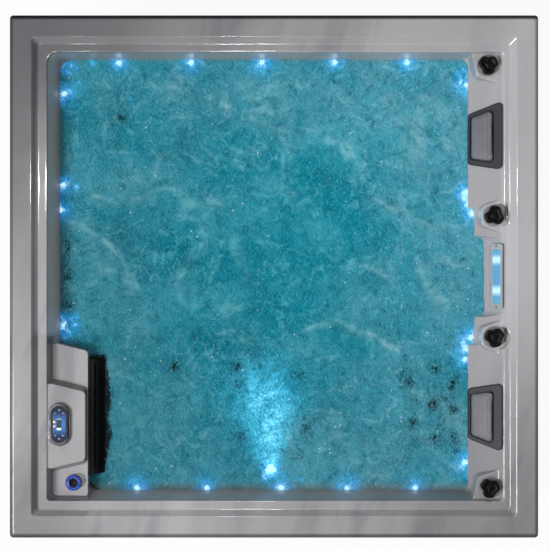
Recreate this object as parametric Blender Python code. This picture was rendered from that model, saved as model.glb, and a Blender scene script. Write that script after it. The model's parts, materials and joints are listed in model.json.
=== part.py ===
"""A square acrylic hot tub: shell, cabinet, frame, skimmer, jets, valves, topside control and pump gear.

Metres, +Z up. The origin is on the floor under the middle of the tub. +Y is the rear, -X the left side.
"""

import bpy
import bmesh
from math import cos, pi, radians, sin
from mathutils import Matrix, Vector

# Overall sizes
WIDTH = 2.200
LENGTH = 2.175
RIM_Z = 0.900
GAP = 0.0003
SLIDE_GAP = 0.0004
OVERRUN = 0.010
CORNER_STEPS = 4
ROUND_STEPS = 16
SMALL_STEPS = 8

# Acrylic shell
WALL = 0.010
LIP_RADIUS = 0.018
LIP_STEPS = 3
RIM_FLAT = 0.0735
STEP_RUN = 0.025
STEP_DROP = 0.022
TIER_RUN = 0.036
RIGHT_WIDENING = 0.012
SKIRT_DEPTH = 0.065
OUTER_CORNER = 0.014
RIM_OVERLAP = 0.030
OPENING_CORNERS = (0.012, 0.045, 0.012, 0.012)
WATER_CORNERS = (0.030, 0.060, 0.040, 0.030)
SEAT_CORNER = 0.120
WATER_DEPTH = 0.130
SEAT_DEPTH = 0.450
FLOOR_DEPTH = 0.780
LEFT_DRAFT = 0.038
REAR_DRAFT = 0.012
FRONT_DRAFT = 0.028
SEAT_DRAFT = 0.070
SHOULDER_RUN = 0.1355
RECLINE_RUN = 0.124

# Footwell and seats
FOOTWELL_WIDTH = 0.760
FOOTWELL_LENGTH = 0.870
FOOTWELL_DRAFT = 0.040
FOOTWELL_CORNER = 0.130
SEAT_SCOOP = 0.040
SCOOP_DRAFT = 0.020
SCOOP_CORNER = 0.070
SCOOP_MARGIN = 0.035
SCOOP_CORNER_SHARE = 0.45
REAR_SEAT_SHARES = (("rear_left", 0, 0.300), ("rear_middle", 0.360, 0.655), ("rear_right", 0.715, 1))
LEFT_SEAT_SHARES = (-0.170, 0.360)
FRONT_SEAT_SHARES = (-0.370, 0.320)
CORNER_SEAT_SHARE = -0.360

# Recess in the right shoulder for the waterfall
RECESS_LENGTH = 0.580
RECESS_STEP = 0.026
RECESS_DEPTH = 0.280
FALL_RECESS_LENGTH = 0.340
FALL_RECESS_STEP = 0.069
FALL_RECESS_DEPTH = 0.240
RECESS_REACH = 0.300
RECESS_TOP_STEP = 0.0115
RECESS_CORNER = 0.022
FALL_RECESS_CORNER = 0.033

# Shelf block on the left with the skimmer
BLOCK_WIDTH = 0.166
BLOCK_LENGTH = 0.660
BLOCK_END_SLANT = 0.038
LEDGE_RISE = 0.058
PLINTH_INSET = 0.129
PLINTH_LENGTH = 0.364
PLINTH_SLANT = 0.040
PLINTH_DROP = 0.028
PLINTH_DRAFT = 0.018
BLOCK_CORNER = 0.020

# Valve pods
POD_TOP_DEPTH = 0.040
POD_HEIGHT = 0.095
POD_DRAFT = 0.006
POD_CORNER = 0.034
SIDE_POD_NOSE = 0.058
SIDE_POD_NOSE_HALF = 0.043
SIDE_POD_BACK_HALF = 0.096
CORNER_POD_NOSE = 0.051
CORNER_POD_BACK_HALF = 0.092
POD_BACK = 0.080
POD_WING = 0.080
REAR_POD_INSET = 0.0665
FRONT_POD_INSET = 0.060
CORNER_POD_MARGIN = 0.053
SIDE_POD_INSET = 0.0415
SIDE_POD_OVERLAP = 0.036
SCALLOP_RADIUS = 0.051
SIDE_SCALLOP_SHIFT = 0.009

# Valves
VALVE_BARREL_RADIUS = 0.024
VALVE_BARREL_LENGTH = 0.110
VALVE_SEAT_RADIUS = 0.0455
VALVE_SEAT_HEIGHT = 0.005
VALVE_POST_RADIUS = 0.009
VALVE_POST_HEIGHT = 0.022
KNOB_RADIUS = 0.0375
KNOB_LOBE = 0.0050
KNOB_DIP = 0.0022
KNOB_LOBES = 3
KNOB_HEIGHT = 0.026
KNOB_EDGE = 0.004
KNOB_STEPS = 36
KNOB_BORE_DEPTH = 0.018
KNOB_TURNS = {
    "rear": radians(30),
    "upper_side": radians(82),
    "lower_side": radians(40),
    "front": radians(20),
}

# Ring-lit valve on the lower ledge
RING_VALVE_INSET = 0.1045
RING_VALVE_MARGIN = 0.069
RING_BARREL_RADIUS = 0.018
RING_BARREL_LENGTH = 0.060
RING_SEAT_RADIUS = 0.036
RING_SEAT_HEIGHT = 0.004
RING_POST_RADIUS = 0.007
RING_POST_HEIGHT = 0.010
RING_CAP_RADIUS = 0.033
RING_CAP_HEIGHT = 0.012
RING_CAP_EDGE = 0.004
RING_HUB_RADIUS = 0.019
RING_GROOVE_DEPTH = 0.002
RING_BORE_DEPTH = 0.007

# Topside control
CONTROL_INSET = 0.053
CONTROL_MARGIN = 0.319
CONTROL_WIDTH = 0.095
CONTROL_LENGTH = 0.183
BEZEL_BORDER = 0.016
BEZEL_HEIGHT = 0.012
BEZEL_EDGE = 0.004
FACE_HEIGHT = 0.009
BUTTON_RADIUS = 0.0065
BUTTON_HEIGHT = 0.005
BUTTON_PROUD = 0.0015
BUTTON_TRAVEL = 0.001
BUTTON_SIDE_REACH = 0.017
BUTTON_INNER_REACH = 0.046
BUTTON_OUTER_REACH = 0.060
BUTTON_EDGE = 0.001
BUTTONS = (
    ("pump_one_button", 0, 1),
    ("pump_two_button", -1, 1),
    ("blower_button", 1, 1),
    ("cooler_button", -1, -1),
    ("warmer_button", 1, -1),
    ("lamp_button", 0, -1),
)

# Skimmer
SKIMMER_MARGIN = 0.345
SKIMMER_DROP = 0.063
SKIMMER_HALF_LENGTH = 0.225
SKIMMER_HALF_HEIGHT = 0.095
SKIMMER_REACH = 0.220
SKIMMER_WALL = 0.005
FLANGE_BORDER = 0.021
FLANGE_THICKNESS = 0.006
GRILLE_BULGE = 0.070
GRILLE_HALF_HEIGHT = 0.110
GRILLE_HALF_LENGTH = 0.241
GRILLE_WALL = 0.004
GRILLE_STEPS = 14
GRILLE_SLOTS = 9
GRILLE_SLOT_WIDTH = 0.007
GRILLE_BAYS = 3
GRILLE_BAY_BAR = 0.010
GRILLE_SLOT_SWEEP = radians(144)
WEIR_OFFSET = 0.035
WEIR_HEIGHT = 0.080
WEIR_THICKNESS = 0.004
WEIR_BARREL_RADIUS = 0.005
WEIR_PIN_RADIUS = 0.003
WEIR_PIN_LENGTH = 0.004
WEIR_END_GAP = 0.0008
CARTRIDGE_RADIUS = 0.055
CARTRIDGE_LENGTH = 0.360
CARTRIDGE_PLEAT = 0.008
CARTRIDGE_PLEATS = 18
CARTRIDGE_CAP = 0.012
CARTRIDGE_SPIGOT_RADIUS = 0.020
CARTRIDGE_CLEARANCE = 0.010

# Headrests, outline in plan on the sloped shoulder
HEADREST_INSET = 0.0085
HEADREST_WIDTH = 0.129
HEADREST_LENGTH = 0.287
HEADREST_FAR_SLANT = 0.045
HEADREST_NEAR_SLANT = 0.030
HEADREST_SPARE_SHARE = 0.620
HEADREST_CORNER = 0.016
HEADREST_WATER_BORDER = 0.009
HEADREST_WALL_BORDER = 0.034
HEADREST_NEAR_BORDER = 0.021
HEADREST_FAR_BORDER = 0.017
HEADREST_FRAME_HEIGHT = 0.014
HEADREST_FRAME_EDGE = 0.004
HEADREST_TRAY_FLOOR = 0.004
PAD_CLEARANCE = 0.001
PAD_SIDE_DRAW = 0.003
PAD_RISE_SHARES = (0, 0.30, 0.62, 0.86, 0.96, 1)
PAD_INSET_SHARES = (0.45, 1, 0, 0.9, 2.6, 5.2)
PAD_HEIGHT = 0.024

# Waterfall
FALL_INSET = 0.018
FALL_WIDTH = 0.042
FALL_HALF_LENGTH = 0.137
FALL_CORNER = 0.010
FALL_LENS_CORNER = 0.014
FALL_FRAME = 0.0055
FALL_HEIGHT = 0.022
FALL_FLOOR = 0.006
FALL_END = 0.018
FALL_LENS_HEIGHT = 0.017

# Underwater light, on the front wall
LIGHT_X = -0.014
LIGHT_FALL_SHARE = 0.594
LIGHT_FLANGE_RADIUS = 0.048
LIGHT_FLANGE_THICKNESS = 0.006
LIGHT_BARREL_RADIUS = 0.036
LIGHT_BARREL_LENGTH = 0.045
LIGHT_LENS_RADIUS = 0.032
LIGHT_LENS_SEAT = 0.012
LIGHT_LENS_RISE = 0.014
LIGHT_LENS_STEPS = 4

# Light points along the waterline
LED_DROP = 0.018
LED_RADIUS = 0.004
LED_HEAD_RADIUS = 0.007
LED_HEAD_HEIGHT = 0.003
LED_TAIL = 0.016
LED_HARNESS = 0.010
LED_REAR_SHARES = (-0.300, -0.161, -0.023, 0.118, 0.258)
LED_FRONT_SHARES = (-0.265, -0.130, 0.014, 0.141, 0.273)
LED_LEFT_SHARES = (0.358, 0.179, 0.130, -0.099)
LED_RIGHT_SHARES = (0.370, 0.164)

# Jets on the reclined right wall
JET_ROW_SHARES = (0.258, 0.597, 0.937)
JET_FALL_SHARES = (0.359, 0.819)
JET_FACE_RADIUS = 0.030
JET_FACE_HEIGHT = 0.006
JET_FACE_EDGE = 0.002
JET_NOZZLE_RADIUS = 0.011
JET_SPIGOT_RADIUS = 0.016
JET_SPIGOT_LENGTH = 0.015
JET_BARREL_RADIUS = 0.022
JET_BARREL_TAIL = 0.030
MANIFOLD_THICKNESS = 0.040
MANIFOLD_BORDER = 0.034

# Suction fittings and drain in the footwell
SUCTION_SPACING = 0.240
SUCTION_RISE = 0.090
SUCTION_COVER_RADIUS = 0.055
SUCTION_COVER_HEIGHT = 0.018
SUCTION_BARREL_RADIUS = 0.025
SUCTION_BARREL_LENGTH = 0.050
SUCTION_SLOT_WIDTH = 0.005
SUCTION_SLOTS = 5
SUCTION_SLOT_DEPTH = 0.005
DRAIN_X = -0.020
DRAIN_MARGIN = 0.135
DRAIN_RADIUS = 0.040
DRAIN_HEIGHT = 0.008
DRAIN_BARREL_RADIUS = 0.020
DRAIN_BARREL_LENGTH = 0.040

# Cabinet, frame and base
PANEL_INSET = 0.014
PANEL_THICKNESS = 0.012
PANEL_TOP_GAP = 0.012
PLANK_WIDTH = 0.140
PLANK_GROOVE = 0.004
CORNER_LEG = 0.060
CORNER_CHAMFER = 0.008
BASE_HEIGHT = 0.050
BASE_FLOOR = 0.012
POST_SIDE = 0.040
SUPPORT_MARGIN = 0.060

# Pump gear on the base floor, left of the footwell
MOTOR_X_SHARE = -0.327
MOTOR_Y_SHARE = -0.138
MOTOR_RADIUS = 0.075
MOTOR_LENGTH = 0.260
MOTOR_FOOT_WIDTH = 0.140
MOTOR_AXIS_Z = 0.115
WET_END_RADIUS = 0.085
WET_END_LENGTH = 0.100
PIPE_RADIUS = 0.022
PORT_RADIUS = 0.030
PORT_LENGTH = 0.050
OUTLET_MARGIN = 0.010
HEADER_WIDTH = 0.050
HEADER_LENGTH = 0.320
HEADER_RISE = 0.030
BEND_RADIUS = 0.070
BEND_STEPS = 6
PIPE_CLEARANCE = 0.018
HEATER_MARGIN = 0.180
HEATER_Y = 0.000
HEATER_RADIUS = 0.045
HEATER_LENGTH = 0.380
HEATER_AXIS_Z = 0.110
HEATER_FOOT = 0.030
PACK_Y_SHARE = 0.221
PACK_WIDTH = 0.140
PACK_LENGTH = 0.340
PACK_HEIGHT = 0.260
PACK_EDGE = 0.012
BLOWER_X_SHARE = -0.309
BLOWER_Y_SHARE = 0.207
BLOWER_RADIUS = 0.080
BLOWER_HEIGHT = 0.150

# Places worked out from the sizes above
HALF_X = WIDTH / 2
HALF_Y = LENGTH / 2
OPENING_INSET = LIP_RADIUS + RIM_FLAT + STEP_RUN + TIER_RUN
TIER_Z = RIM_Z - STEP_DROP
WATER_Z = RIM_Z - WATER_DEPTH
SEAT_Z = RIM_Z - SEAT_DEPTH
FLOOR_Z = RIM_Z - FLOOR_DEPTH
LEDGE_Z = WATER_Z + LEDGE_RISE
PLINTH_Z = RIM_Z - PLINTH_DROP
POD_Z = RIM_Z - POD_TOP_DEPTH
SKIMMER_Z = WATER_Z - SKIMMER_DROP
LED_Z = WATER_Z - LED_DROP
LIGHT_Z = WATER_Z - LIGHT_FALL_SHARE * (WATER_Z - SEAT_Z)
SUCTION_Z = FLOOR_Z + SUCTION_RISE
OPEN_X = HALF_X - OPENING_INSET
OPEN_Y = HALF_Y - OPENING_INSET
RIGHT_X = OPEN_X + RIGHT_WIDENING
RECESS_TOP_X = RIGHT_X + RECESS_TOP_STEP
BLOCK_FACE_X = BLOCK_WIDTH - OPEN_X
BASE_FLOOR_Z = BASE_FLOOR + GAP
FOOTWELL_X = FOOTWELL_WIDTH / 2
FOOTWELL_Y = FOOTWELL_LENGTH / 2
DRAIN_Y = DRAIN_MARGIN - FOOTWELL_Y
PLINTH_NEAR_Y = PLINTH_INSET - OPEN_Y
PLINTH_FAR_Y = PLINTH_NEAR_Y + PLINTH_LENGTH
CONTROL_X = CONTROL_INSET - OPEN_X
CONTROL_Y = CONTROL_MARGIN - OPEN_Y
RING_VALVE_X = RING_VALVE_INSET - OPEN_X
RING_VALVE_Y = RING_VALVE_MARGIN - OPEN_Y
SKIMMER_Y = SKIMMER_MARGIN - OPEN_Y
SIDE_POD_Y = RECESS_LENGTH / 2 - SIDE_POD_OVERLAP
CORNER_POD_Y = OPEN_Y - CORNER_POD_MARGIN
HEADREST_OUTER_X = RIGHT_X - HEADREST_INSET
HEADREST_INNER_X = HEADREST_OUTER_X - HEADREST_WIDTH
FALL_OUTER_X = RECESS_TOP_X - FALL_INSET
FALL_INNER_X = FALL_OUTER_X - FALL_WIDTH
MOTOR_X = MOTOR_X_SHARE * WIDTH
MOTOR_Y = MOTOR_Y_SHARE * LENGTH
HEATER_X = HEATER_MARGIN - HALF_X
PIPE_RUN_Z = SEAT_Z - SEAT_SCOOP - WALL - PIPE_CLEARANCE - PIPE_RADIUS
OUTLET_Z = PIPE_RUN_Z - BEND_RADIUS - OUTLET_MARGIN
OUTWARD = {
    "left": Vector((-1, 0, 0)),
    "right": Vector((1, 0, 0)),
    "front": Vector((0, -1, 0)),
    "rear": Vector((0, 1, 0)),
}
WATER_REACH = {
    "left": OPEN_X - LEFT_DRAFT,
    "right": RIGHT_X - SHOULDER_RUN,
    "front": OPEN_Y - FRONT_DRAFT,
    "rear": OPEN_Y - REAR_DRAFT,
}
SEAT_REACH = {
    "left": WATER_REACH["left"] - SEAT_DRAFT,
    "right": WATER_REACH["right"] - RECLINE_RUN,
    "front": WATER_REACH["front"] - SEAT_DRAFT,
    "rear": WATER_REACH["rear"] - SEAT_DRAFT,
}


def clear_scene():
    for obj in list(bpy.data.objects):
        bpy.data.objects.remove(obj)


def material(name, colour, roughness, metallic=0, transmission=0):
    made = bpy.data.materials.get(name)
    if made:
        return made
    made = bpy.data.materials.new(name)
    made.use_nodes = True
    shader = made.node_tree.nodes["Principled BSDF"]
    shader.inputs["Base Color"].default_value = (*colour, 1)
    shader.inputs["Roughness"].default_value = roughness
    shader.inputs["Metallic"].default_value = metallic
    shader.inputs["Transmission Weight"].default_value = transmission
    return made


def acrylic():
    return material("grey_marble_acrylic", (0.42, 0.43, 0.45), 0.15)


def black_plastic():
    return material("black_plastic", (0.02, 0.02, 0.022), 0.4)


def charcoal_plastic():
    return material("charcoal_plastic", (0.06, 0.06, 0.065), 0.5)


def pad_foam():
    return material("grey_pad_foam", (0.16, 0.165, 0.185), 0.7)


def clear_plastic():
    return material("clear_lens", (0.6, 0.85, 0.95), 0.1, 0, 0.5)


def chrome():
    return material("chromed_trim", (0.8, 0.8, 0.82), 0.1, 1)


def blue_face():
    return material("dark_blue_face", (0.02, 0.04, 0.09), 0.25)


def cabinet_board():
    return material("cabinet_board", (0.09, 0.09, 0.1), 0.6)


def frame_steel():
    return material("galvanised_steel", (0.45, 0.46, 0.48), 0.4, 1)


def white_plastic():
    return material("white_pipe_plastic", (0.75, 0.75, 0.73), 0.4)


def grey_plastic():
    return material("grey_gear_plastic", (0.25, 0.26, 0.28), 0.5)


def object_from(name, bm, finish):
    bmesh.ops.recalc_face_normals(bm, faces=bm.faces)
    mesh = bpy.data.meshes.new(name)
    bm.to_mesh(mesh)
    bm.free()
    obj = bpy.data.objects.new(name, mesh)
    bpy.context.scene.collection.objects.link(obj)
    mesh.materials.append(finish)
    return obj


def shade_round(obj):
    obj.data.shade_smooth()
    obj.data.set_sharp_from_angle(angle=radians(35))


def skin(name, rings, finish, closed=False):
    """A closed solid through rings of points, capped at both ends or, when closed, joined end to start."""
    bm = bmesh.new()
    loops = [[bm.verts.new(point) for point in ring] for ring in rings]
    count = len(loops[0])
    pairs = list(zip(loops, loops[1:]))
    if closed:
        pairs.append((loops[-1], loops[0]))
    for lower, upper in pairs:
        for i in range(count):
            j = (i + 1) % count
            bm.faces.new((lower[i], lower[j], upper[j], upper[i]))
    if not closed:
        bm.faces.new(loops[0])
        bm.faces.new(loops[-1])
    return object_from(name, bm, finish)


def rounded_rectangle(x0, x1, y0, y1, radius, z):
    """A loop of points with one corner radius, or four from the rear right past the rear left."""
    radii = radius if isinstance(radius, (list, tuple)) else (radius,) * 4
    ends = ((x1, y1), (x0, y1), (x0, y0), (x1, y0))
    inwards = ((-1, -1), (1, -1), (1, 1), (-1, 1))
    points = []
    for quarter, (end, inward, round_by) in enumerate(zip(ends, inwards, radii)):
        centre_x = end[0] + inward[0] * round_by
        centre_y = end[1] + inward[1] * round_by
        for i in range(CORNER_STEPS + 1):
            angle = (quarter + i / CORNER_STEPS) * pi / 2
            points.append((centre_x + round_by * cos(angle), centre_y + round_by * sin(angle), z))
    return points


def circle(radius, z, steps=ROUND_STEPS):
    return [(radius * cos(2 * pi * i / steps), radius * sin(2 * pi * i / steps), z) for i in range(steps)]


def place(obj, spot, direction=Vector((0, 0, 1))):
    """Puts an object at a spot with its own Z along the direction."""
    turn = Vector((0, 0, 1)).rotation_difference(Vector(direction))
    obj.rotation_mode = "QUATERNION"
    obj.rotation_quaternion = turn
    obj.location = spot
    return obj


def turned(name, profile, finish, spot=(0, 0, 0), direction=(0, 0, 1), steps=ROUND_STEPS, closed=False):
    """A round solid from (radius, height) pairs, capped unless closed."""
    rings = [circle(radius, height, steps) for radius, height in profile]
    obj = skin(name, rings, finish, closed)
    shade_round(obj)
    return place(obj, spot, direction)


def box(name, low, high, finish):
    rings = [plain_rectangle(low, high, z) for z in (low[2], high[2])]
    return skin(name, rings, finish)


def plain_rectangle(low, high, z):
    return [(low[0], low[1], z), (high[0], low[1], z), (high[0], high[1], z), (low[0], high[1], z)]


def helper(obj):
    obj.hide_render = True
    obj.display_type = "WIRE"
    return obj


def combine(obj, other, operation):
    modifier = obj.modifiers.new(other.name, "BOOLEAN")
    modifier.operation = operation
    modifier.object = helper(other)
    modifier.use_self = False


def cut(obj, other):
    combine(obj, other, "DIFFERENCE")


def join(obj, other):
    combine(obj, other, "UNION")


def joined_cutter(name, parts, finish):
    """One mesh that holds several solids that don't touch, for one cut."""
    bm = bmesh.new()
    for part in parts:
        bpy.context.view_layer.update()
        copy = part.data.copy()
        copy.transform(part.matrix_world)
        bm.from_mesh(copy)
        bpy.data.meshes.remove(copy)
        bpy.data.objects.remove(part)
    return object_from(name, bm, finish)


def side_reach(side, z):
    """How far the basin's wall lies from the middle on one side, at a height under the waterline."""
    share = (z - SEAT_Z) / (WATER_Z - SEAT_Z)
    return SEAT_REACH[side] + share * (WATER_REACH[side] - SEAT_REACH[side])


def wall_spot(side, along, z):
    """A point on the wet face of a wall, and the direction from it into the water."""
    outward = OUTWARD[side]
    sideways = Vector((0, 1, 0)) if side in ("left", "right") else Vector((1, 0, 0))
    spot = outward * side_reach(side, z) + sideways * along
    spot.z = z
    lean = (WATER_REACH[side] - SEAT_REACH[side]) / (WATER_Z - SEAT_Z)
    inward = (Vector((0, 0, lean)) - outward).normalized()
    return spot, inward


def footwell_spot(along, z):
    """A point on the footwell's left wall, and the direction from it into the water."""
    share = (z - FLOOR_Z) / (SEAT_Z - FLOOR_Z)
    reach = FOOTWELL_X - FOOTWELL_DRAFT * (1 - share)
    spot = Vector((-reach, along, z))
    inward = Vector((1, 0, FOOTWELL_DRAFT / (SEAT_Z - FLOOR_Z))).normalized()
    return spot, inward


def shoulder_z(x):
    """Height of the sloped right shoulder at a distance from the middle."""
    water_x = WATER_REACH["right"]
    return WATER_Z + (x - water_x) * (TIER_Z - WATER_Z) / SHOULDER_RUN


def fall_slope_z(x):
    """Height of the steeper slope that carries the waterfall."""
    water_x = WATER_REACH["right"] + FALL_RECESS_STEP
    return WATER_Z + (x - water_x) * (TIER_Z - WATER_Z) / (RECESS_TOP_X - water_x)


def rim_profile():
    """(inset, height) round the rim: up the skirt, over the lip, down the step and back underneath."""
    profile = [(0, RIM_Z - SKIRT_DEPTH)]
    for i in range(LIP_STEPS + 1):
        angle = i / LIP_STEPS * pi / 2
        profile.append((LIP_RADIUS * (1 - cos(angle)), RIM_Z - LIP_RADIUS * (1 - sin(angle))))
    flat_end = LIP_RADIUS + RIM_FLAT
    step_end = flat_end + STEP_RUN
    profile.append((flat_end, RIM_Z))
    inner_end = OPENING_INSET + RIM_OVERLAP
    profile.append((step_end, TIER_Z))
    profile.append((inner_end, TIER_Z))
    profile.append((inner_end, TIER_Z - WALL))
    profile.append((step_end, TIER_Z - WALL))
    profile.append((flat_end - WALL / 2, RIM_Z - WALL))
    profile.append((WALL, RIM_Z - WALL))
    profile.append((WALL, RIM_Z - SKIRT_DEPTH))
    return profile


def inset_ring(inset, z):
    half_x = HALF_X - inset
    half_y = HALF_Y - inset
    return rounded_rectangle(-half_x, half_x, -half_y, half_y, OUTER_CORNER, z)


def basin_ring(reach, corners, z, grow):
    left, right = -reach["left"] - grow, reach["right"] + grow
    front, rear = -reach["front"] - grow, reach["rear"] + grow
    return rounded_rectangle(left, right, front, rear, [corner + grow for corner in corners], z)


def basin_form(name, grow, top_z, bottom_z):
    """The basin's hollow, or with a growth its outer skin."""
    opening = {"left": OPEN_X, "right": RIGHT_X, "front": OPEN_Y, "rear": OPEN_Y}
    rings = [
        basin_ring(SEAT_REACH, (SEAT_CORNER,) * 4, bottom_z, grow),
        basin_ring(WATER_REACH, WATER_CORNERS, WATER_Z, grow),
        basin_ring(opening, OPENING_CORNERS, TIER_Z - GAP, grow),
    ]
    if top_z > TIER_Z:
        rings.append(basin_ring(opening, OPENING_CORNERS, top_z, grow))
    return skin(name, rings, acrylic())


def footwell_form(name, grow, top_z, bottom_z):
    rings = []
    for z in (bottom_z, top_z):
        out = grow - FOOTWELL_DRAFT * (SEAT_Z - z) / (SEAT_Z - FLOOR_Z)
        half_x = FOOTWELL_X + out
        half_y = FOOTWELL_Y + out
        rings.append(rounded_rectangle(-half_x, half_x, -half_y, half_y, FOOTWELL_CORNER + out, z))
    return skin(name, rings, acrylic())


def seat_places():
    """(name, low x, high x, low y, high y) of each scooped seat between the footwell and the walls."""
    low_x = SCOOP_MARGIN - SEAT_REACH["left"]
    high_x = SEAT_REACH["right"] - SCOOP_MARGIN
    low_y = SCOOP_MARGIN - SEAT_REACH["front"]
    high_y = SEAT_REACH["rear"] - SCOOP_MARGIN
    near_x = FOOTWELL_X + SCOOP_MARGIN
    near_y = FOOTWELL_Y + SCOOP_MARGIN
    places = []
    for name, start, end in REAR_SEAT_SHARES:
        span = high_x - low_x
        places.append((name, low_x + start * span, low_x + end * span, near_y, high_y))
    left_y, left_end_y = (share * FOOTWELL_LENGTH for share in LEFT_SEAT_SHARES)
    places.append(("left", low_x, -near_x, left_y, left_end_y))
    front_x, front_end_x = (share * FOOTWELL_WIDTH for share in FRONT_SEAT_SHARES)
    places.append(("front_middle", front_x, front_end_x, low_y, -near_y))
    places.append(("front_right", near_x, high_x, low_y, CORNER_SEAT_SHARE * FOOTWELL_LENGTH))
    return places


def seat_form(name, low_x, high_x, low_y, high_y, grow, top_z):
    corner = min(SCOOP_CORNER, (high_x - low_x) * SCOOP_CORNER_SHARE, (high_y - low_y) * SCOOP_CORNER_SHARE)
    rings = []
    for z, out in ((SEAT_Z - SEAT_SCOOP - grow, grow - SCOOP_DRAFT), (top_z, grow)):
        left, right, front, rear = low_x - out, high_x + out, low_y - out, high_y + out
        rings.append(rounded_rectangle(left, right, front, rear, corner + out, z))
    kind = "skin" if grow else "hollow"
    return skin(f"{name}_seat_{kind}", rings, acrylic())


def recess_form(name, length, step, depth, corner, grow, top_z):
    """A hollow, or its outer skin, that reaches from the water into the right shoulder."""
    near_x = WATER_REACH["right"] - RECESS_REACH
    water_x = WATER_REACH["right"] + step
    bottom_z = RIM_Z - depth
    bottom_x = side_reach("right", bottom_z)
    half = length / 2 + grow
    top_x = RECESS_TOP_X + grow
    rows = [(bottom_x + grow, bottom_z - grow), (water_x + grow, WATER_Z), (top_x, TIER_Z - GAP)]
    if top_z > TIER_Z:
        rows.append((top_x, top_z))
    rings = [rounded_rectangle(near_x, x, -half, half, corner + grow, z) for x, z in rows]
    return skin(name, rings, acrylic())


def block_form():
    """The shelf block's body, inside the basin's outer skin."""
    far_y = BLOCK_LENGTH - OPEN_Y
    share = (LEDGE_Z - WATER_Z) / (TIER_Z - WATER_Z)
    ledge_left = WATER_REACH["left"] + share * (OPEN_X - WATER_REACH["left"])
    ledge_front = WATER_REACH["front"] + share * (OPEN_Y - WATER_REACH["front"])
    rings = []
    for left, front, z in (
        (SEAT_REACH["left"], SEAT_REACH["front"], SEAT_Z - WALL / 2),
        (WATER_REACH["left"], WATER_REACH["front"], WATER_Z),
        (ledge_left, ledge_front, LEDGE_Z),
    ):
        low_x = -left - WALL / 2
        low_y = -front - WALL / 2
        face_end_y = far_y - BLOCK_END_SLANT
        corners = ((low_x, low_y), (BLOCK_FACE_X, low_y), (BLOCK_FACE_X, face_end_y), (low_x, far_y))
        rings.append([(point.x, point.y, z) for point in rounded_outline(corners, 0, BLOCK_CORNER)])
    return skin("shelf_block", rings, acrylic())


def plinth_form():
    """The raised part under the control, wider at the wall than at the water."""
    low_x = -OPEN_X - WALL / 2
    high_x = BLOCK_FACE_X - WALL / 2
    rings = []
    for grow, z in ((PLINTH_DRAFT, LEDGE_Z - WALL), (PLINTH_DRAFT, LEDGE_Z), (0, PLINTH_Z)):
        corners = (
            (low_x, PLINTH_NEAR_Y - grow),
            (high_x, PLINTH_NEAR_Y + PLINTH_SLANT - grow),
            (high_x, PLINTH_FAR_Y - PLINTH_SLANT + grow),
            (low_x, PLINTH_FAR_Y + grow),
        )
        rings.append([(point.x, point.y, z) for point in rounded_outline(corners, 0, BLOCK_CORNER)])
    return skin("control_plinth", rings, acrylic())


def side_pod_corners():
    """A side pod's plan round its valve: a nose towards the water, wider at the wall."""
    return (
        (-SIDE_POD_NOSE, -SIDE_POD_NOSE_HALF),
        (POD_BACK, -SIDE_POD_BACK_HALF),
        (POD_BACK, SIDE_POD_BACK_HALF),
        (-SIDE_POD_NOSE, SIDE_POD_NOSE_HALF),
    )


def rear_pod_corners():
    """The rear corner pod's plan round its valve, wider at both walls."""
    return (
        (-CORNER_POD_NOSE, -CORNER_POD_NOSE),
        (POD_BACK, -CORNER_POD_BACK_HALF),
        (POD_BACK, POD_BACK),
        (-POD_WING, POD_BACK),
    )


def pod_corners(y):
    if abs(y) == SIDE_POD_Y:
        return side_pod_corners()
    corners = rear_pod_corners()
    return corners if y > 0 else [(across, -along) for across, along in reversed(corners)]


def pod_form(name, x, y):
    corners = [(x + across, y + along) for across, along in pod_corners(y)]
    rings = []
    for inset, z in ((0, POD_Z - POD_HEIGHT), (0, WATER_Z), (POD_DRAFT, POD_Z)):
        outline = rounded_outline(corners, inset, POD_CORNER - inset)
        rings.append([(point.x, point.y, z) for point in outline])
    return skin(name, rings, acrylic())


def scallop_form(name, x, y, grow, bottom_z, top_z):
    """The round room over a pod for its knob, or with a growth the wall round that room."""
    profile = []
    for z in (bottom_z, top_z):
        profile.append((SCALLOP_RADIUS + grow + POD_DRAFT * (z - POD_Z) / (TIER_Z - POD_Z), z))
    shift = SIDE_SCALLOP_SHIFT if abs(y) == SIDE_POD_Y else 0
    return turned(name, profile, acrylic(), (x + shift, y, 0), steps=2 * ROUND_STEPS)


def valve_places():
    side_x = RIGHT_X - SIDE_POD_INSET
    return (
        ("rear", RIGHT_X - REAR_POD_INSET, CORNER_POD_Y),
        ("upper_side", side_x, SIDE_POD_Y),
        ("lower_side", side_x, -SIDE_POD_Y),
        ("front", RIGHT_X - FRONT_POD_INSET, -CORNER_POD_Y),
    )


def led_spots(sides):
    return [wall_spot(side, share * span, LED_Z) for side, share, span in sides]


def upper_led_spots():
    sides = [("rear", share, WIDTH) for share in LED_REAR_SHARES]
    sides += [("left", share, LENGTH) for share in LED_LEFT_SHARES]
    sides += [("right", share, LENGTH) for share in LED_RIGHT_SHARES]
    return led_spots(sides)


def lower_led_spots():
    sides = [("front", share, WIDTH) for share in LED_FRONT_SHARES]
    sides += [("right", -share, LENGTH) for share in LED_RIGHT_SHARES]
    return led_spots(sides)


def jet_rows():
    """Places of the jets along the right wall, between the recess and the front corner."""
    start = -RECESS_LENGTH / 2
    end = SEAT_CORNER - SEAT_REACH["front"]
    return [start + share * (end - start) for share in JET_ROW_SHARES]


def jet_heights():
    return [WATER_Z - share * (WATER_Z - SEAT_Z) for share in JET_FALL_SHARES]


def jet_spots():
    return [wall_spot("right", y, z) for z in jet_heights() for y in jet_rows()]


def suction_places():
    return (SUCTION_SPACING / 2, -SUCTION_SPACING / 2)


def hole(name, radius, spot, direction, depth, steps=ROUND_STEPS):
    profile = ((radius, -depth), (radius, depth))
    return turned(name, profile, acrylic(), spot, direction, steps)


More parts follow.
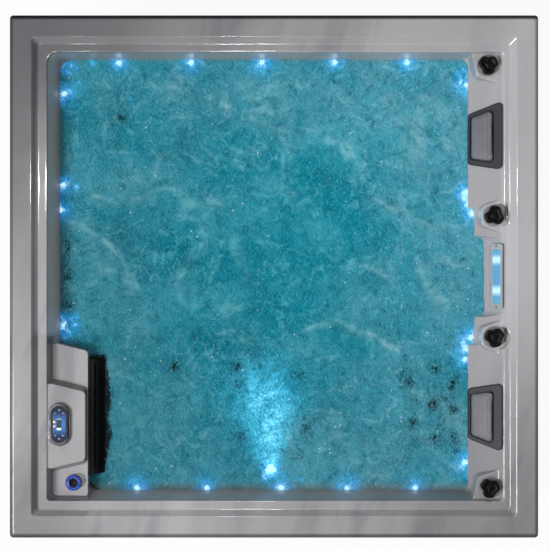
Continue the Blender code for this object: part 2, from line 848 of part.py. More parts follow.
def shell_holes():
    holes = []
    valve_radius = VALVE_BARREL_RADIUS + SLIDE_GAP
    for name, x, y in valve_places():
        holes.append(hole(name, valve_radius, (x, y, POD_Z), (0, 0, 1), VALVE_BARREL_LENGTH))
    ring_spot = (RING_VALVE_X, RING_VALVE_Y, LEDGE_Z)
    ring_depth = RING_BARREL_LENGTH + SLIDE_GAP
    holes.append(hole("ring", RING_BARREL_RADIUS + SLIDE_GAP, ring_spot, (0, 0, 1), ring_depth))
    spot, inward = wall_spot("front", LIGHT_X, LIGHT_Z)
    holes.append(hole("light", LIGHT_BARREL_RADIUS + SLIDE_GAP, spot, inward, LIGHT_BARREL_LENGTH))
    for spot, inward in upper_led_spots() + lower_led_spots():
        holes.append(hole("led", LED_RADIUS + SLIDE_GAP, spot, inward, LED_TAIL, SMALL_STEPS))
    for spot, inward in jet_spots():
        holes.append(hole("jet", JET_BARREL_RADIUS + SLIDE_GAP, spot, inward, JET_BARREL_TAIL))
    suction_radius = SUCTION_BARREL_RADIUS + SLIDE_GAP
    for y in suction_places():
        spot, inward = footwell_spot(y, SUCTION_Z)
        holes.append(hole("suction", suction_radius, spot, inward, SUCTION_BARREL_LENGTH))
    drain_spot = (DRAIN_X, DRAIN_Y, FLOOR_Z)
    holes.append(hole("drain", DRAIN_BARREL_RADIUS + SLIDE_GAP, drain_spot, (0, 0, 1), DRAIN_BARREL_LENGTH))
    return joined_cutter("fitting_holes", holes, acrylic())


def acrylic_shell():
    rim = [inset_ring(inset, z) for inset, z in rim_profile()]
    shell = skin("acrylic_shell", rim, acrylic(), closed=True)
    join(shell, basin_form("basin_skin", WALL, TIER_Z, SEAT_Z - WALL))
    seat_top = SEAT_Z - WALL / 2
    join(shell, footwell_form("footwell_skin", WALL, seat_top, FLOOR_Z - WALL))
    for seat in seat_places():
        join(shell, seat_form(*seat, WALL, seat_top))
    recesses = (
        ("side_recess", RECESS_LENGTH, RECESS_STEP, RECESS_DEPTH, RECESS_CORNER),
        ("fall_recess", FALL_RECESS_LENGTH, FALL_RECESS_STEP, FALL_RECESS_DEPTH, FALL_RECESS_CORNER),
    )
    for name, *sizes in recesses:
        join(shell, recess_form(f"{name}_skin", *sizes, WALL, TIER_Z))
    tier_middle = TIER_Z - WALL / 2
    for name, x, y in valve_places():
        join(shell, scallop_form(f"{name}_scallop_skin", x, y, WALL, POD_Z - WALL, tier_middle))
    cut(shell, basin_form("basin_hollow", 0, RIM_Z, SEAT_Z))
    cut(shell, footwell_form("footwell_hollow", 0, SEAT_Z + OVERRUN, FLOOR_Z))
    for seat in seat_places():
        cut(shell, seat_form(*seat, 0, SEAT_Z + OVERRUN))
    for name, *sizes in recesses:
        cut(shell, recess_form(f"{name}_hollow", *sizes, 0, RIM_Z))
    join(shell, block_form())
    join(shell, plinth_form())
    for name, x, y in valve_places():
        join(shell, pod_form(f"{name}_pod", x, y))
    for name, x, y in valve_places():
        cut(shell, scallop_form(f"{name}_scallop", x, y, 0, POD_Z, RIM_Z + OVERRUN))
    cut(shell, skimmer_chamber())
    cut(shell, shell_holes())
    return shell


def skimmer_chamber():
    low = (-OPEN_X - SKIMMER_REACH, SKIMMER_Y - SKIMMER_HALF_LENGTH, SKIMMER_Z - SKIMMER_HALF_HEIGHT)
    high = (BLOCK_FACE_X + OVERRUN, SKIMMER_Y + SKIMMER_HALF_LENGTH, SKIMMER_Z + SKIMMER_HALF_HEIGHT)
    return box("skimmer_chamber", low, high, acrylic())


def housing_back_x():
    return BLOCK_FACE_X - SKIMMER_REACH


def skimmer_housing():
    half_length = SKIMMER_HALF_LENGTH - SLIDE_GAP
    half_height = SKIMMER_HALF_HEIGHT - SLIDE_GAP
    front_x = BLOCK_FACE_X + GAP + FLANGE_THICKNESS
    body = box(
        "skimmer_housing",
        (housing_back_x(), SKIMMER_Y - half_length, SKIMMER_Z - half_height),
        (front_x, SKIMMER_Y + half_length, SKIMMER_Z + half_height),
        white_plastic(),
    )
    flange_length = SKIMMER_HALF_LENGTH + FLANGE_BORDER
    flange_height = SKIMMER_HALF_HEIGHT + FLANGE_BORDER
    flange = box(
        "skimmer_flange",
        (BLOCK_FACE_X + GAP, SKIMMER_Y - flange_length, SKIMMER_Z - flange_height),
        (front_x, SKIMMER_Y + flange_length, SKIMMER_Z + flange_height),
        white_plastic(),
    )
    inside_length = half_length - SKIMMER_WALL
    inside_height = half_height - SKIMMER_WALL
    inside = box(
        "skimmer_inside",
        (housing_back_x() + SKIMMER_WALL, SKIMMER_Y - inside_length, SKIMMER_Z - inside_height),
        (front_x + OVERRUN, SKIMMER_Y + inside_length, SKIMMER_Z + inside_height),
        white_plastic(),
    )
    x, z = weir_axis()
    reach = SKIMMER_HALF_LENGTH + OVERRUN
    pins = turned(
        "weir_pin_holes",
        ((WEIR_PIN_RADIUS + SLIDE_GAP, -reach), (WEIR_PIN_RADIUS + SLIDE_GAP, reach)),
        white_plastic(),
        (x, SKIMMER_Y, z),
        (0, 1, 0),
        SMALL_STEPS,
    )
    join(body, flange)
    cut(body, inside)
    cut(body, pins)
    return body


def weir_axis():
    return BLOCK_FACE_X - WEIR_OFFSET, WATER_Z + WEIR_BARREL_RADIUS - WEIR_HEIGHT


def weir_flap():
    """The floating flap behind the grille, with its barrel and two pins as one moulding."""
    x, z = weir_axis()
    inner_half = SKIMMER_HALF_LENGTH - SLIDE_GAP - SKIMMER_WALL
    half = inner_half - WEIR_END_GAP
    pin = half + WEIR_PIN_LENGTH
    profile = (
        (WEIR_PIN_RADIUS, -pin),
        (WEIR_PIN_RADIUS, -half),
        (WEIR_BARREL_RADIUS, -half),
        (WEIR_BARREL_RADIUS, half),
        (WEIR_PIN_RADIUS, half),
        (WEIR_PIN_RADIUS, pin),
    )
    flap = turned("weir_flap", profile, white_plastic(), (x, SKIMMER_Y, z), (0, 1, 0), SMALL_STEPS)
    plate = box(
        "weir_plate",
        (x - WEIR_THICKNESS / 2, SKIMMER_Y - half + WEIR_END_GAP, z),
        (x + WEIR_THICKNESS / 2, SKIMMER_Y + half - WEIR_END_GAP, z + WEIR_HEIGHT),
        white_plastic(),
    )
    join(flap, plate)
    return flap


def grille_arc(name, grow, half_length, back_x):
    """A solid with a half oval outline, which bulges from the block towards the water."""
    rings = []
    for y in (SKIMMER_Y - half_length, SKIMMER_Y + half_length):
        ring = []
        for i in range(GRILLE_STEPS + 1):
            angle = (i / GRILLE_STEPS - 1 / 2) * pi
            x = grille_back_x() + (GRILLE_BULGE + grow) * cos(angle)
            ring.append((x, y, SKIMMER_Z + (GRILLE_HALF_HEIGHT + grow) * sin(angle)))
        ring.append((back_x, y, SKIMMER_Z + GRILLE_HALF_HEIGHT + grow))
        ring.append((back_x, y, SKIMMER_Z - GRILLE_HALF_HEIGHT - grow))
        rings.append(ring)
    return skin(name, rings, black_plastic())


def grille_back_x():
    return BLOCK_FACE_X + FLANGE_THICKNESS + 2 * GAP


def skimmer_grille():
    """A bulged cover with rows of long slots."""
    cover = grille_arc("skimmer_grille", 0, GRILLE_HALF_LENGTH, grille_back_x() - GAP / 2)
    inner_length = GRILLE_HALF_LENGTH - GRILLE_WALL
    cut(cover, grille_arc("grille_inside", -GRILLE_WALL, inner_length, grille_back_x() - OVERRUN))
    bay = 2 * (GRILLE_HALF_LENGTH - GRILLE_WALL - GRILLE_BAY_BAR) / GRILLE_BAYS
    slots = []
    for row in range(GRILLE_SLOTS):
        angle = (row / (GRILLE_SLOTS - 1) - 1 / 2) * GRILLE_SLOT_SWEEP
        x = grille_back_x() + GRILLE_BULGE * cos(angle)
        z = SKIMMER_Z + GRILLE_HALF_HEIGHT * sin(angle)
        across = Vector((cos(angle) / GRILLE_BULGE, 0, sin(angle) / GRILLE_HALF_HEIGHT)).normalized()
        for column in range(GRILLE_BAYS):
            y = SKIMMER_Y + (column - (GRILLE_BAYS - 1) / 2) * bay
            half = (bay - GRILLE_BAY_BAR) / 2
            slot = box(
                "slot",
                (-GRILLE_SLOT_WIDTH / 2, -half, -2 * GRILLE_WALL),
                (GRILLE_SLOT_WIDTH / 2, half, 2 * GRILLE_WALL),
                black_plastic(),
            )
            slots.append(place(slot, (x, y, z), across))
    cut(cover, joined_cutter("grille_slots", slots, black_plastic()))
    return cover


def pleated_ring(z):
    points = []
    count = 2 * CARTRIDGE_PLEATS
    for i in range(count):
        radius = CARTRIDGE_RADIUS - CARTRIDGE_PLEAT * (i % 2)
        points.append((radius * cos(2 * pi * i / count), radius * sin(2 * pi * i / count), z))
    return points


def filter_cartridge():
    count = 2 * CARTRIDGE_PLEATS
    half = CARTRIDGE_LENGTH / 2
    end = SKIMMER_HALF_LENGTH - SLIDE_GAP - SKIMMER_WALL - GAP
    cap_radius = CARTRIDGE_RADIUS + CARTRIDGE_PLEAT / 2
    rows = [
        (CARTRIDGE_SPIGOT_RADIUS, -end),
        (CARTRIDGE_SPIGOT_RADIUS, -half),
        (cap_radius, -half),
        (cap_radius, CARTRIDGE_CAP - half),
    ]
    rings = [circle(radius, z, count) for radius, z in rows]
    rings += [pleated_ring(CARTRIDGE_CAP - half), pleated_ring(half - CARTRIDGE_CAP)]
    rings += [circle(radius, -z, count) for radius, z in reversed(rows)]
    obj = skin("filter_cartridge", rings, white_plastic())
    x = housing_back_x() + SKIMMER_WALL + CARTRIDGE_CLEARANCE + CARTRIDGE_RADIUS
    return place(obj, (x, SKIMMER_Y, SKIMMER_Z - CARTRIDGE_CLEARANCE), (0, 1, 0))


def valve_body(name, x, y):
    profile = (
        (VALVE_BARREL_RADIUS, -VALVE_BARREL_LENGTH),
        (VALVE_BARREL_RADIUS, GAP),
        (VALVE_SEAT_RADIUS, GAP),
        (VALVE_SEAT_RADIUS, VALVE_SEAT_HEIGHT),
        (VALVE_POST_RADIUS, VALVE_SEAT_HEIGHT),
        (VALVE_POST_RADIUS, VALVE_POST_HEIGHT),
    )
    return turned(f"{name}_valve_body", profile, grey_plastic(), (x, y, POD_Z))


def knob_ring(turn, inset, z):
    points = []
    for i in range(KNOB_STEPS):
        angle = 2 * pi * i / KNOB_STEPS
        lobe = KNOB_LOBES * (angle - turn)
        radius = KNOB_RADIUS + KNOB_LOBE * cos(lobe) - KNOB_DIP * cos(2 * lobe) - inset
        points.append((radius * cos(angle), radius * sin(angle), z))
    return points


def valve_handle(name, x, y):
    """A three-lobed knob with a blind bore for the valve's post."""
    base = VALVE_SEAT_HEIGHT + GAP
    rows = ((0, base), (0, base + KNOB_HEIGHT - KNOB_EDGE), (KNOB_EDGE, base + KNOB_HEIGHT))
    rings = [knob_ring(KNOB_TURNS[name], inset, z) for inset, z in rows]
    handle = skin(f"{name}_valve_handle", rings, black_plastic())
    shade_round(handle)
    place(handle, (x, y, POD_Z))
    bore_radius = VALVE_POST_RADIUS + SLIDE_GAP
    profile = ((bore_radius, base - OVERRUN), (bore_radius, base + KNOB_BORE_DEPTH))
    cut(handle, turned(f"{name}_handle_bore", profile, black_plastic(), (x, y, POD_Z)))
    return handle


def ring_valve_body():
    profile = (
        (RING_BARREL_RADIUS, -RING_BARREL_LENGTH),
        (RING_BARREL_RADIUS, GAP),
        (RING_SEAT_RADIUS, GAP),
        (RING_SEAT_RADIUS, RING_SEAT_HEIGHT),
        (RING_POST_RADIUS, RING_SEAT_HEIGHT),
        (RING_POST_RADIUS, RING_POST_HEIGHT),
    )
    return turned("ring_valve_body", profile, grey_plastic(), (RING_VALVE_X, RING_VALVE_Y, LEDGE_Z))


def ring_valve_cap():
    """The turning cap with its lit ring round a dark hub."""
    base = RING_SEAT_HEIGHT + GAP
    top = base + RING_CAP_HEIGHT
    floor = base + RING_BORE_DEPTH
    profile = (
        (RING_POST_RADIUS + SLIDE_GAP, floor),
        (RING_POST_RADIUS + SLIDE_GAP, base),
        (RING_CAP_RADIUS, base),
        (RING_CAP_RADIUS, top - RING_CAP_EDGE),
        (RING_CAP_RADIUS - RING_CAP_EDGE, top),
        (RING_HUB_RADIUS + RING_GROOVE_DEPTH, top),
        (RING_HUB_RADIUS, top - RING_GROOVE_DEPTH),
        (RING_HUB_RADIUS - RING_GROOVE_DEPTH, top),
    )
    return turned("ring_valve_cap", profile, black_plastic(), (RING_VALVE_X, RING_VALVE_Y, LEDGE_Z))


def stadium(inset, z):
    half_x = CONTROL_WIDTH / 2 - inset
    half_y = CONTROL_LENGTH / 2 - inset
    low_x = CONTROL_X - half_x
    low_y = CONTROL_Y - half_y
    return rounded_rectangle(low_x, CONTROL_X + half_x, low_y, CONTROL_Y + half_y, half_x - GAP, z)


def control_bezel():
    base = PLINTH_Z + GAP
    top = PLINTH_Z + BEZEL_HEIGHT
    rows = (
        (0, base),
        (0, top - BEZEL_EDGE),
        (BEZEL_EDGE, top),
        (BEZEL_BORDER - BEZEL_EDGE, top),
        (BEZEL_BORDER, top - BEZEL_EDGE),
        (BEZEL_BORDER, base),
    )
    obj = skin("control_bezel", [stadium(inset, z) for inset, z in rows], chrome(), closed=True)
    shade_round(obj)
    return obj


def button_places():
    places = []
    for name, side, end in BUTTONS:
        reach = BUTTON_INNER_REACH if side else BUTTON_OUTER_REACH
        places.append((name, CONTROL_X + side * BUTTON_SIDE_REACH, CONTROL_Y + end * reach))
    return places


def control_face():
    inset = BEZEL_BORDER + GAP
    top = PLINTH_Z + FACE_HEIGHT
    face = skin("control_face", [stadium(inset, PLINTH_Z + GAP), stadium(inset, top)], blue_face())
    pocket_depth = BUTTON_HEIGHT - BUTTON_PROUD + BUTTON_TRAVEL + GAP
    radius = BUTTON_RADIUS + SLIDE_GAP
    pockets = []
    for name, x, y in button_places():
        pockets.append(hole(name, radius, (x, y, top), (0, 0, 1), pocket_depth, SMALL_STEPS))
    cut(face, joined_cutter("button_pockets", pockets, blue_face()))
    return face


def control_button(name, x, y):
    top = PLINTH_Z + FACE_HEIGHT + BUTTON_PROUD
    profile = (
        (BUTTON_RADIUS, -BUTTON_HEIGHT),
        (BUTTON_RADIUS, -BUTTON_EDGE),
        (BUTTON_RADIUS - BUTTON_EDGE, 0),
    )
    return turned(name, profile, chrome(), (x, y, top), (0, 0, 1), SMALL_STEPS)


def offset_corners(corners, insets):
    """The corners of a convex outline, listed anticlockwise, with each side moved in by its own inset."""
    lines = []
    for i, (start, inset) in enumerate(zip(corners, insets)):
        end = corners[(i + 1) % len(corners)]
        along = Vector((end[0] - start[0], end[1] - start[1])).normalized()
        normal = Vector((-along.y, along.x))
        lines.append((Vector(start) + normal * inset, along))
    moved = []
    for i, (point, along) in enumerate(lines):
        before_point, before_along = lines[i - 1]
        cross = before_along.x * along.y - before_along.y * along.x
        reach = ((point - before_point).x * along.y - (point - before_point).y * along.x) / cross
        moved.append(before_point + before_along * reach)
    return moved


def rounded_outline(corners, inset, radius):
    """Plan points of a convex outline with round corners."""
    moved = offset_corners(corners, [inset + radius] * len(corners))
    points = []
    count = len(corners)
    for i, centre in enumerate(moved):
        before = moved[i - 1]
        after = moved[(i + 1) % count]
        into = (centre - before).normalized()
        out = (after - centre).normalized()
        first = Vector((into.y, -into.x))
        last = Vector((out.y, -out.x))
        turn = first.angle_signed(last)
        for step in range(CORNER_STEPS + 1):
            swing = Matrix.Rotation(-turn * step / CORNER_STEPS, 2)
            points.append(centre + swing @ first * radius)
    return points


def headrest_corners(sign):
    """A trapezoid that shares out the room between the side pod and the corner pod."""
    start = SIDE_POD_Y + SIDE_POD_BACK_HALF
    spare = CORNER_POD_Y - CORNER_POD_BACK_HALF - start - HEADREST_LENGTH
    near_y = start + HEADREST_SPARE_SHARE * spare
    far_y = near_y + HEADREST_LENGTH
    corners = [
        (HEADREST_INNER_X, sign * (near_y + HEADREST_NEAR_SLANT)),
        (HEADREST_OUTER_X, sign * near_y),
        (HEADREST_OUTER_X, sign * far_y),
        (HEADREST_INNER_X, sign * (far_y - HEADREST_FAR_SLANT)),
    ]
    return corners if sign > 0 else corners[::-1]


def headrest_room_corners(sign):
    """The pad's room in its frame, nearer to the water than to the wall."""
    sides = (HEADREST_NEAR_BORDER, HEADREST_FAR_BORDER)
    first, third = sides if sign > 0 else sides[::-1]
    borders = (first, HEADREST_WALL_BORDER, third, HEADREST_WATER_BORDER)
    return offset_corners(headrest_corners(sign), borders)


def sloped_rings(corners, radius, rows, slope):
    """Rings over a slope from (inset, height above it) pairs."""
    rings = []
    for inset, height in rows:
        plan = rounded_outline(corners, inset, max(radius - inset / 2, radius / 2))
        rings.append([(point.x, point.y, slope(point.x) + height) for point in plan])
    return rings


def headrest_frame(name, sign):
    rows = (
        (0, GAP),
        (0, HEADREST_FRAME_HEIGHT - HEADREST_FRAME_EDGE),
        (HEADREST_FRAME_EDGE, HEADREST_FRAME_HEIGHT),
    )
    room_rows = ((-HEADREST_FRAME_EDGE / 2, HEADREST_FRAME_HEIGHT), (0, HEADREST_TRAY_FLOOR))
    rings = sloped_rings(headrest_corners(sign), HEADREST_CORNER, rows, shoulder_z)
    rings += sloped_rings(headrest_room_corners(sign), HEADREST_CORNER, room_rows, shoulder_z)
    frame = skin(name, rings, charcoal_plastic())
    shade_round(frame)
    return frame


def headrest_pad(name, sign):
    """The cushion: sides drawn in at the frame's edge, and a crown above it."""
    rows = []
    for rise, inset in zip(PAD_RISE_SHARES, PAD_INSET_SHARES):
        rows.append((PAD_CLEARANCE + inset * PAD_SIDE_DRAW, HEADREST_TRAY_FLOOR + GAP + rise * PAD_HEIGHT))
    rings = sloped_rings(headrest_room_corners(sign), HEADREST_CORNER, rows, shoulder_z)
    pad = skin(name, rings, pad_foam())
    pad.data.shade_smooth()
    return pad


def fall_corners(shrink):
    half = FALL_HALF_LENGTH - shrink
    return ((FALL_INNER_X, -half), (FALL_OUTER_X, -half), (FALL_OUTER_X, half), (FALL_INNER_X, half))


def waterfall_frame():
    rings = sloped_rings(fall_corners(0), FALL_CORNER, ((0, GAP), (0, FALL_HEIGHT)), fall_slope_z)
    frame = skin("waterfall_frame", rings, clear_plastic())
    rows = ((FALL_FRAME, FALL_FLOOR), (FALL_FRAME, FALL_HEIGHT + OVERRUN))
    pocket = sloped_rings(fall_corners(FALL_END), FALL_LENS_CORNER, rows, fall_slope_z)
    cut(frame, skin("fall_pocket", pocket, clear_plastic()))
    return frame


def waterfall_light_bar():
    inset = FALL_FRAME + SLIDE_GAP
    rows = ((inset, FALL_FLOOR + GAP), (inset, FALL_FLOOR + FALL_LENS_HEIGHT))
    rings = sloped_rings(fall_corners(FALL_END), FALL_LENS_CORNER, rows, fall_slope_z)
    return skin("waterfall_light_bar", rings, clear_plastic())


def underwater_light():
    spot, inward = wall_spot("front", LIGHT_X, LIGHT_Z)
    seat = LIGHT_FLANGE_THICKNESS - LIGHT_LENS_SEAT
    profile = (
        (LIGHT_BARREL_RADIUS, -LIGHT_BARREL_LENGTH),
        (LIGHT_BARREL_RADIUS, GAP),
        (LIGHT_FLANGE_RADIUS, GAP),
        (LIGHT_FLANGE_RADIUS - LIGHT_FLANGE_THICKNESS / 2, LIGHT_FLANGE_THICKNESS),
        (LIGHT_LENS_RADIUS + SLIDE_GAP, LIGHT_FLANGE_THICKNESS),
        (LIGHT_LENS_RADIUS + SLIDE_GAP, seat),
    )
    turned("underwater_light_housing", profile, grey_plastic(), spot, inward)
    dome = [(LIGHT_LENS_RADIUS, seat + GAP)]
    for i in range(LIGHT_LENS_STEPS):
        angle = i / LIGHT_LENS_STEPS * pi / 2
        dome.append((LIGHT_LENS_RADIUS * cos(angle), LIGHT_FLANGE_THICKNESS + LIGHT_LENS_RISE * sin(angle)))
    turned("underwater_light_lens", dome, clear_plastic(), spot, inward)


def led_string(name, spots, corners):
    """Small lenses through the wall, joined behind it by one flat harness as deep as their tails drop."""
    drop = max(inward.z for spot, inward in spots) * harness_offset()
    low_z = LED_Z - LED_HARNESS / 2 - drop
    rings = [[(x, y, height) for x, y in corners] for height in (low_z, LED_Z + LED_HARNESS / 2)]
    harness = skin(name, rings, clear_plastic())
    pins = []
    for spot, inward in spots:
        profile = (
            (LED_RADIUS, -WALL - LED_TAIL),
            (LED_RADIUS, GAP),
            (LED_HEAD_RADIUS, GAP),
            (LED_HEAD_RADIUS, LED_HEAD_HEIGHT / 2),
            (LED_RADIUS, LED_HEAD_HEIGHT),
        )
        pins.append(turned("pin", profile, clear_plastic(), spot, inward, SMALL_STEPS))
    join(harness, joined_cutter(f"{name}_lenses", pins, clear_plastic()))
    return harness


def harness_offset():
    return WALL + LED_TAIL * 3 / 4


def harness_reach(side):
    return side_reach(side, LED_Z) + harness_offset()


def upper_led_string():
    near_left = -harness_reach("left")
    near_rear = harness_reach("rear")
    near_right = harness_reach("right")
    left_end = LED_LEFT_SHARES[-1] * LENGTH - LED_HARNESS
    right_end = LED_RIGHT_SHARES[-1] * LENGTH - LED_HARNESS
    corners = (
        (near_left, left_end),
        (near_left, near_rear),
        (near_right, near_rear),
        (near_right, right_end),
        (near_right + LED_HARNESS, right_end),
        (near_right + LED_HARNESS, near_rear + LED_HARNESS),
        (near_left - LED_HARNESS, near_rear + LED_HARNESS),
        (near_left - LED_HARNESS, left_end),
    )
    return led_string("upper_led_string", upper_led_spots(), corners)


def lower_led_string():
    near_front = -harness_reach("front")
    near_right = harness_reach("right")
    front_end = LED_FRONT_SHARES[0] * WIDTH - LED_HARNESS
    right_end = LED_HARNESS - LED_RIGHT_SHARES[-1] * LENGTH
    corners = (
        (front_end, near_front),
        (near_right, near_front),
        (near_right, right_end),
        (near_right + LED_HARNESS, right_end),
        (near_right + LED_HARNESS, near_front - LED_HARNESS),
        (front_end, near_front - LED_HARNESS),
    )
    return led_string("lower_led_string", lower_led_spots(), corners)


def jet_manifold():
    """A moulded box behind the reclined wall with six barrels through it."""
    rows = jet_rows()
    middle_y = (rows[0] + rows[-1]) / 2
    spot, inward = wall_spot("right", middle_y, sum(jet_heights()) / len(jet_heights()))
    high, low = (wall_spot("right", middle_y, z)[0] for z in jet_heights())
    half_rise = (high - low).length / 2 + MANIFOLD_BORDER
    half_length = abs(rows[0] - rows[-1]) / 2 + MANIFOLD_BORDER
    back = -WALL - JET_BARREL_TAIL
    low_corner = (-half_rise, -half_length, back - MANIFOLD_THICKNESS)
    body = box("jet_manifold", low_corner, (half_rise, half_length, back), white_plastic())
    place(body, spot, inward)
    barrels = []
    bores = []
    bore_radius = JET_SPIGOT_RADIUS + SLIDE_GAP
    for jet_spot, jet_inward in jet_spots():
        barrels.append(
            turned(
                "barrel",
                ((JET_BARREL_RADIUS, back - MANIFOLD_THICKNESS / 2), (JET_BARREL_RADIUS, -GAP)),
                white_plastic(),
                jet_spot,
                jet_inward,
            )
        )
        bores.append(hole("bore", bore_radius, jet_spot, jet_inward, 2 * JET_SPIGOT_LENGTH))
    join(body, joined_cutter("jet_barrels", barrels, white_plastic()))
    join(body, pressure_run("pressure_run"))
    cut(body, joined_cutter("jet_bores", bores, white_plastic()))
    return body


def jet_face(name, spot, inward):
    """A turning face with an off-centre nozzle hole."""
    top = GAP + JET_FACE_HEIGHT
    profile = (
        (JET_SPIGOT_RADIUS, -JET_SPIGOT_LENGTH),
        (JET_SPIGOT_RADIUS, GAP),
        (JET_FACE_RADIUS, GAP),
        (JET_FACE_RADIUS, top - JET_FACE_EDGE),
        (JET_FACE_RADIUS - JET_FACE_EDGE, top),
    )
    face = turned(name, profile, grey_plastic(), spot, inward)
    nozzle = turned(
        f"{name}_nozzle",
        ((JET_NOZZLE_RADIUS / 2, top - 2 * JET_FACE_HEIGHT), (JET_NOZZLE_RADIUS, top + JET_FACE_EDGE)),
        grey_plastic(),
        spot,
        inward,
        SMALL_STEPS,
    )
    cut(face, nozzle)
    return face


def suction_fitting(name, y):
    spot, inward = footwell_spot(y, SUCTION_Z)
    profile = (
        (SUCTION_BARREL_RADIUS, -SUCTION_BARREL_LENGTH),
        (SUCTION_BARREL_RADIUS, GAP),
        (SUCTION_COVER_RADIUS, GAP),
        (SUCTION_COVER_RADIUS, SUCTION_COVER_HEIGHT / 2),
        (SUCTION_COVER_RADIUS / 2, SUCTION_COVER_HEIGHT),
    )
    fitting = turned(name, profile, grey_plastic(), spot, inward)
    pitch = SUCTION_COVER_RADIUS / SUCTION_SLOTS
    half = SUCTION_COVER_RADIUS / 2
    slots = []
    for i in range(SUCTION_SLOTS):
        across = (i - (SUCTION_SLOTS - 1) / 2) * pitch
        slot = box(
            "slot",
            (across - SUCTION_SLOT_WIDTH / 2, -half, SUCTION_COVER_HEIGHT - SUCTION_SLOT_DEPTH),
            (across + SUCTION_SLOT_WIDTH / 2, half, SUCTION_COVER_HEIGHT + OVERRUN),
            grey_plastic(),
        )
        slots.append(place(slot, spot, inward))
    cut(fitting, joined_cutter(f"{name}_slots", slots, grey_plastic()))
    return fitting


def floor_drain():
    profile = (
        (DRAIN_BARREL_RADIUS, -DRAIN_BARREL_LENGTH),
        (DRAIN_BARREL_RADIUS, GAP),
        (DRAIN_RADIUS, GAP),
        (DRAIN_RADIUS * 3 / 4, DRAIN_HEIGHT),
    )
    return turned("floor_drain", profile, grey_plastic(), (DRAIN_X, DRAIN_Y, FLOOR_Z))


def base_pan():
    side_x = HALF_X - PANEL_INSET
    side_y = HALF_Y - PANEL_INSET
    inner_x = side_x - PANEL_THICKNESS
    inner_y = side_y - PANEL_THICKNESS
    rows = (
        (side_x, side_y, 0),
        (side_x, side_y, BASE_HEIGHT),
        (inner_x, inner_y, BASE_HEIGHT),
        (inner_x, inner_y, BASE_FLOOR),
    )
    rings = [plain_rectangle((-x, -y), (x, y), z) for x, y, z in rows]
    return skin("base_pan", rings, charcoal_plastic())


def floor_support():
    """The block that carries the footwell, with a slot for the drain."""
    half_x = FOOTWELL_X - FOOTWELL_DRAFT - SUPPORT_MARGIN
    half_y = FOOTWELL_Y - FOOTWELL_DRAFT - SUPPORT_MARGIN
    top = FLOOR_Z - WALL - GAP
    low = (-half_x, -half_y, BASE_FLOOR_Z)
    block = box("floor_support", low, (half_x, half_y, top), charcoal_plastic())
    cut(block, hole("drain_slot", DRAIN_RADIUS, (DRAIN_X, DRAIN_Y, top), (0, 0, 1), DRAIN_BARREL_LENGTH))
    return block


def support_frame():
    """Corner posts between a bottom ring and a top ring under the rim."""
    outer_x = HALF_X - PANEL_INSET - PANEL_THICKNESS - GAP
    outer_y = HALF_Y - PANEL_INSET - PANEL_THICKNESS - GAP
    inner_x = outer_x - POST_SIDE
    inner_y = outer_y - POST_SIDE
    top = RIM_Z - WALL - GAP

    outer = Vector((outer_x, outer_y))
    inner = Vector((inner_x, inner_y))
    post_foot = BASE_FLOOR_Z + POST_SIDE / 2
    post_top = top - POST_SIDE / 2

    def ring_rail(name, low, high):
        rings = []
        for corner, z in ((outer, low), (outer, high), (inner, high), (inner, low)):
            rings.append(plain_rectangle(-corner, corner, z))
        return skin(name, rings, frame_steel(), closed=True)

    frame = ring_rail("support_frame", BASE_FLOOR_Z, BASE_FLOOR_Z + POST_SIDE)
    posts = []
    for low_x, high_x in ((-outer_x, -inner_x), (inner_x, outer_x)):
        for low_y, high_y in ((-outer_y, -inner_y), (inner_y, outer_y)):
            posts.append(box("post", (low_x, low_y, post_foot), (high_x, high_y, post_top), frame_steel()))
    join(frame, joined_cutter("corner_posts", posts, frame_steel()))
    join(frame, ring_rail("top_rail", top - POST_SIDE, top))
    return frame


def cabinet_panel(name, direction, half_span):
    """A board with upright planks, whose outline is drawn in plan and pulled up."""
    depth_half = HALF_X if direction[0] else HALF_Y
    outer = depth_half - PANEL_INSET
    inner = outer - PANEL_THICKNESS
    planks = round(2 * half_span / PLANK_WIDTH)
    plank = 2 * half_span / planks
    outline = [(-half_span, inner), (-half_span, outer)]
    for i in range(1, planks):
        edge = i * plank - half_span
        outline.append((edge - PLANK_GROOVE, outer))
        outline.append((edge, outer - PLANK_GROOVE))
        outline.append((edge + PLANK_GROOVE, outer))
    outline += [(half_span, outer), (half_span, inner)]
    low = BASE_HEIGHT + GAP
    high = RIM_Z - WALL - PANEL_TOP_GAP
    rings = [[turn_out(point, direction, z) for point in outline] for z in (low, high)]
    return skin(name, rings, cabinet_board())


def turn_out(point, direction, z):
    along, out = point
    return (out * direction[0] - along * direction[1], out * direction[1] + along * direction[0], z)


def corner_trim(name, x_sign, y_sign):
    outer_x = HALF_X - PANEL_INSET
    outer_y = HALF_Y - PANEL_INSET
    inner_x = outer_x - PANEL_THICKNESS
    inner_y = outer_y - PANEL_THICKNESS
    leg_x = outer_x - CORNER_LEG
    leg_y = outer_y - CORNER_LEG
    outline = (
        (outer_x, outer_y - CORNER_CHAMFER),
        (outer_x - CORNER_CHAMFER, outer_y),
        (leg_x, outer_y),
        (leg_x, inner_y),
        (inner_x, inner_y),
        (inner_x, leg_y),
        (outer_x, leg_y),
    )
    low = BASE_HEIGHT + GAP
    high = RIM_Z - WALL - PANEL_TOP_GAP
    rings = [[(x * x_sign, y * y_sign, z) for x, y in outline] for z in (low, high)]
    return skin(name, rings, charcoal_plastic())


